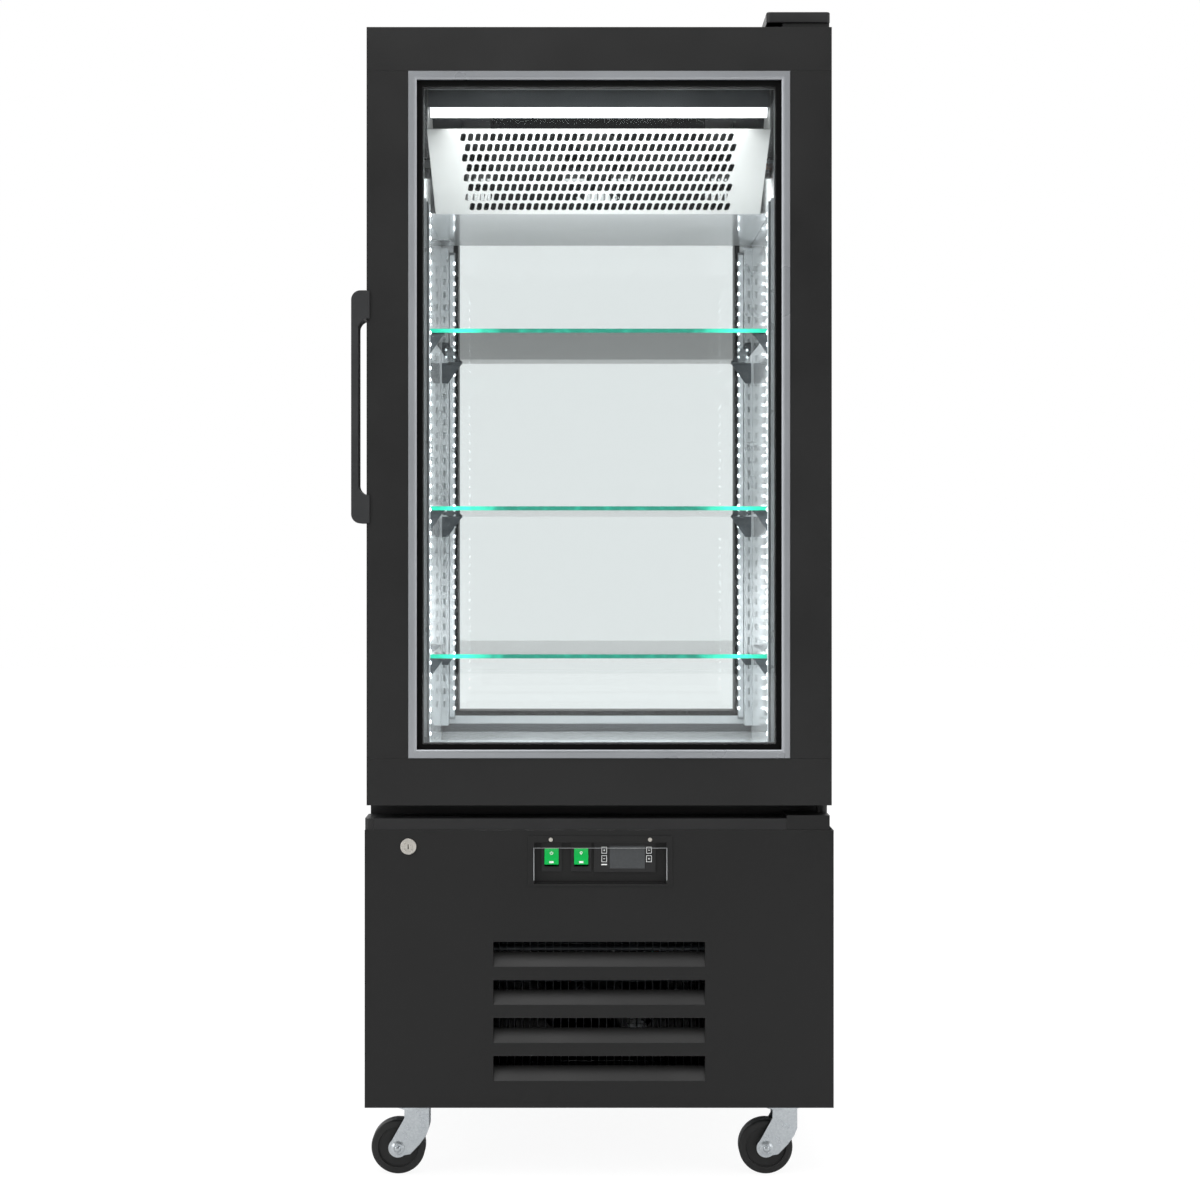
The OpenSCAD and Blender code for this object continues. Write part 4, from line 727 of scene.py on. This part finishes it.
# pressed swivel fork with the dished head that turns under the race, and a domed washer on each end of the axle
def buildFork(corner):
    low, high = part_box("caster_fork_" + corner)
    wheelLow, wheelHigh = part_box("caster_wheel_" + corner)
    axleX, axleZ = (wheelLow[0] + wheelHigh[0]) / 2, (wheelLow[2] + wheelHigh[2]) / 2
    middleY = (wheelLow[1] + wheelHigh[1]) / 2
    bm = cleanCopy("caster_fork_" + corner)
    roundEdges(bm, fork["round"])
    pivotX = axleX + fork["trail"] * mm
    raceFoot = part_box("caster_plates")[1][2] - fork["raceFoot"] * mm
    r, drop = fork["headRadius"] * mm, fork["headDrop"] * mm
    addTurned(bm, [(0.012, raceFoot - drop), (r - 2 * mm, raceFoot - drop), (r - 0.6 * mm, raceFoot - drop + 0.6 * mm),
                   (r, raceFoot - drop + 2 * mm), (r, raceFoot - 0.6 * mm), (r - 1 * mm, raceFoot - 0.2 * mm),
                   (0.0225, raceFoot - 0.2 * mm), (0.0225, raceFoot - 1.2 * mm), (0.012, raceFoot - 1.2 * mm)],
              (pivotX, middleY, 0), "Z", 64)
    for side in (-1, 1):
        face = low[1] if side < 0 else high[1]
        addTurned(bm, [(0, face + side * 0.6 * mm), (2.6 * mm, face + side * 0.5 * mm), (4.4 * mm, face - side * 0.5 * mm),
                       (5.0 * mm, face - side * 3.5 * mm), (8.6 * mm, face - side * 3.7 * mm),
                       (8.9 * mm, face - side * 5.0 * mm)], (axleX, 0, axleZ), "Y", 40)
    piece = makePiece("fork" + corner.upper(), bm, brightZinc, "fork_" + corner, 30)
    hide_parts("caster_fork_" + corner)


for corner in ("fl", "fr", "rl", "rr"):
    buildFork(corner)
    roundedCopy("wheel" + corner.upper(), ["caster_wheel_" + corner], 0.5, wheelRubber)
print("casters made")


# ---------------------------------------------------------------- floor, light and world

def stageFloor():
    bm = bmesh.new()
    bmesh.ops.create_grid(bm, x_segments=1, y_segments=1, size=12)
    mesh = bpy.data.meshes.new("floor")
    bm.to_mesh(mesh)
    bm.free()
    floor = bpy.data.objects.new("floor", mesh)
    bpy.context.collection.objects.link(floor)
    floor.location.z = -0.0005
    material, tree, output, place = newMaterial("paleFloor")
    matt = addNode(tree, "ShaderNodeBsdfDiffuse", {"Color": srgb("#e8e8e8")})
    white = addNode(tree, "ShaderNodeEmission", {"Color": (1, 1, 1, 1), "Strength": 0.92})
    faint = addNode(tree, "ShaderNodeBsdfDiffuse", {"Color": (0.13, 0.13, 0.13, 1)})
    both = addNode(tree, "ShaderNodeAddShader", {}, {0: faint.outputs[0], 1: white.outputs[0]})
    path = addNode(tree, "ShaderNodeLightPath")
    seen = addNode(tree, "ShaderNodeMath", {"operation": "MAXIMUM"},
                   {0: path.outputs["Is Camera Ray"], 1: path.outputs["Is Transmission Ray"]})
    mix = addNode(tree, "ShaderNodeMixShader", {}, {"Fac": seen.outputs[0], 1: matt.outputs[0], 2: both.outputs[0]})
    tree.links.new(mix.outputs[0], output.inputs["Surface"])
    mesh.materials.append(material)


def areaLight(name, place, aim, size, watts, hidden=False):
    data = bpy.data.lights.new(name, "AREA")
    data.shape = "RECTANGLE"
    data.size, data.size_y = size
    data.energy = watts
    lamp = bpy.data.objects.new(name, data)
    lamp.location = place
    lamp.rotation_euler = (Vector(aim) - Vector(place)).to_track_quat("-Z", "Y").to_euler()
    bpy.context.collection.objects.link(lamp)
    lamp.visible_camera = False
    lamp.visible_transmission = False
    lamp.visible_glossy = not hidden
    return lamp


def studio():
    world = bpy.data.worlds.new("studio")
    bpy.context.scene.world = world
    world.use_nodes = True
    tree = world.node_tree
    tree.nodes.clear()
    output = addNode(tree, "ShaderNodeOutputWorld")
    path = addNode(tree, "ShaderNodeLightPath")
    # the room is white behind the cabinet and dark on the camera's side
    place = addNode(tree, "ShaderNodeTexCoord")
    parts = addNode(tree, "ShaderNodeSeparateXYZ", {}, {0: place.outputs["Generated"]})
    level = addNode(tree, "ShaderNodeMapRange", {"From Min": -0.9, "From Max": 0.3, "To Min": 0.1, "To Max": 0.95},
                    {"Value": parts.outputs[1]})
    soft = addNode(tree, "ShaderNodeBackground", {"Color": (1, 1, 1, 1)}, {"Strength": level.outputs[0]})
    white = addNode(tree, "ShaderNodeBackground", {"Color": (1, 1, 1, 1), "Strength": 1.0})
    seen = addNode(tree, "ShaderNodeMath", {"operation": "MAXIMUM"},
                   {0: path.outputs["Is Camera Ray"], 1: path.outputs["Is Transmission Ray"]})
    mix = addNode(tree, "ShaderNodeMixShader", {}, {"Fac": seen.outputs[0], 1: soft.outputs[0], 2: white.outputs[0]})
    tree.links.new(mix.outputs[0], output.inputs["Surface"])
    areaLight("topLight", (-0.6, -2.0, 3.8), (0, -0.2, 0.8), (3.0, 2.0), 90)
    areaLight("leftLight", (-3.2, -2.4, 1.6), (0, 0, 0.7), (1.6, 2.6), 38)
    areaLight("rightLight", (3.2, -2.2, 1.5), (0, 0, 0.7), (1.6, 2.6), 30)
    areaLight("backLight", (0.5, 3.4, 2.6), (0, 0, 0.8), (2.6, 2.0), 40)


def cabinetLight():
    low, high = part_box("led_diffusers")
    middle = (low[2] + high[2]) / 2
    areaLight("doorSideFill", (cabinetX, low[1] - 0.01, middle), (cabinetX, 1, middle), (0.4, 0.8), 5.5, True)
    areaLight("floorFill", (cabinetX, 0, low[2] + 0.25), (cabinetX, 0, 0), (0.35, 0.35), 2.2, True)
    areaLight("upFill", (cabinetX, 0, low[2] + 0.1), (cabinetX, 0, 3), (0.35, 0.35), 1.2, True)


stageFloor()
studio()
cabinetLight()
print("stage and light made")
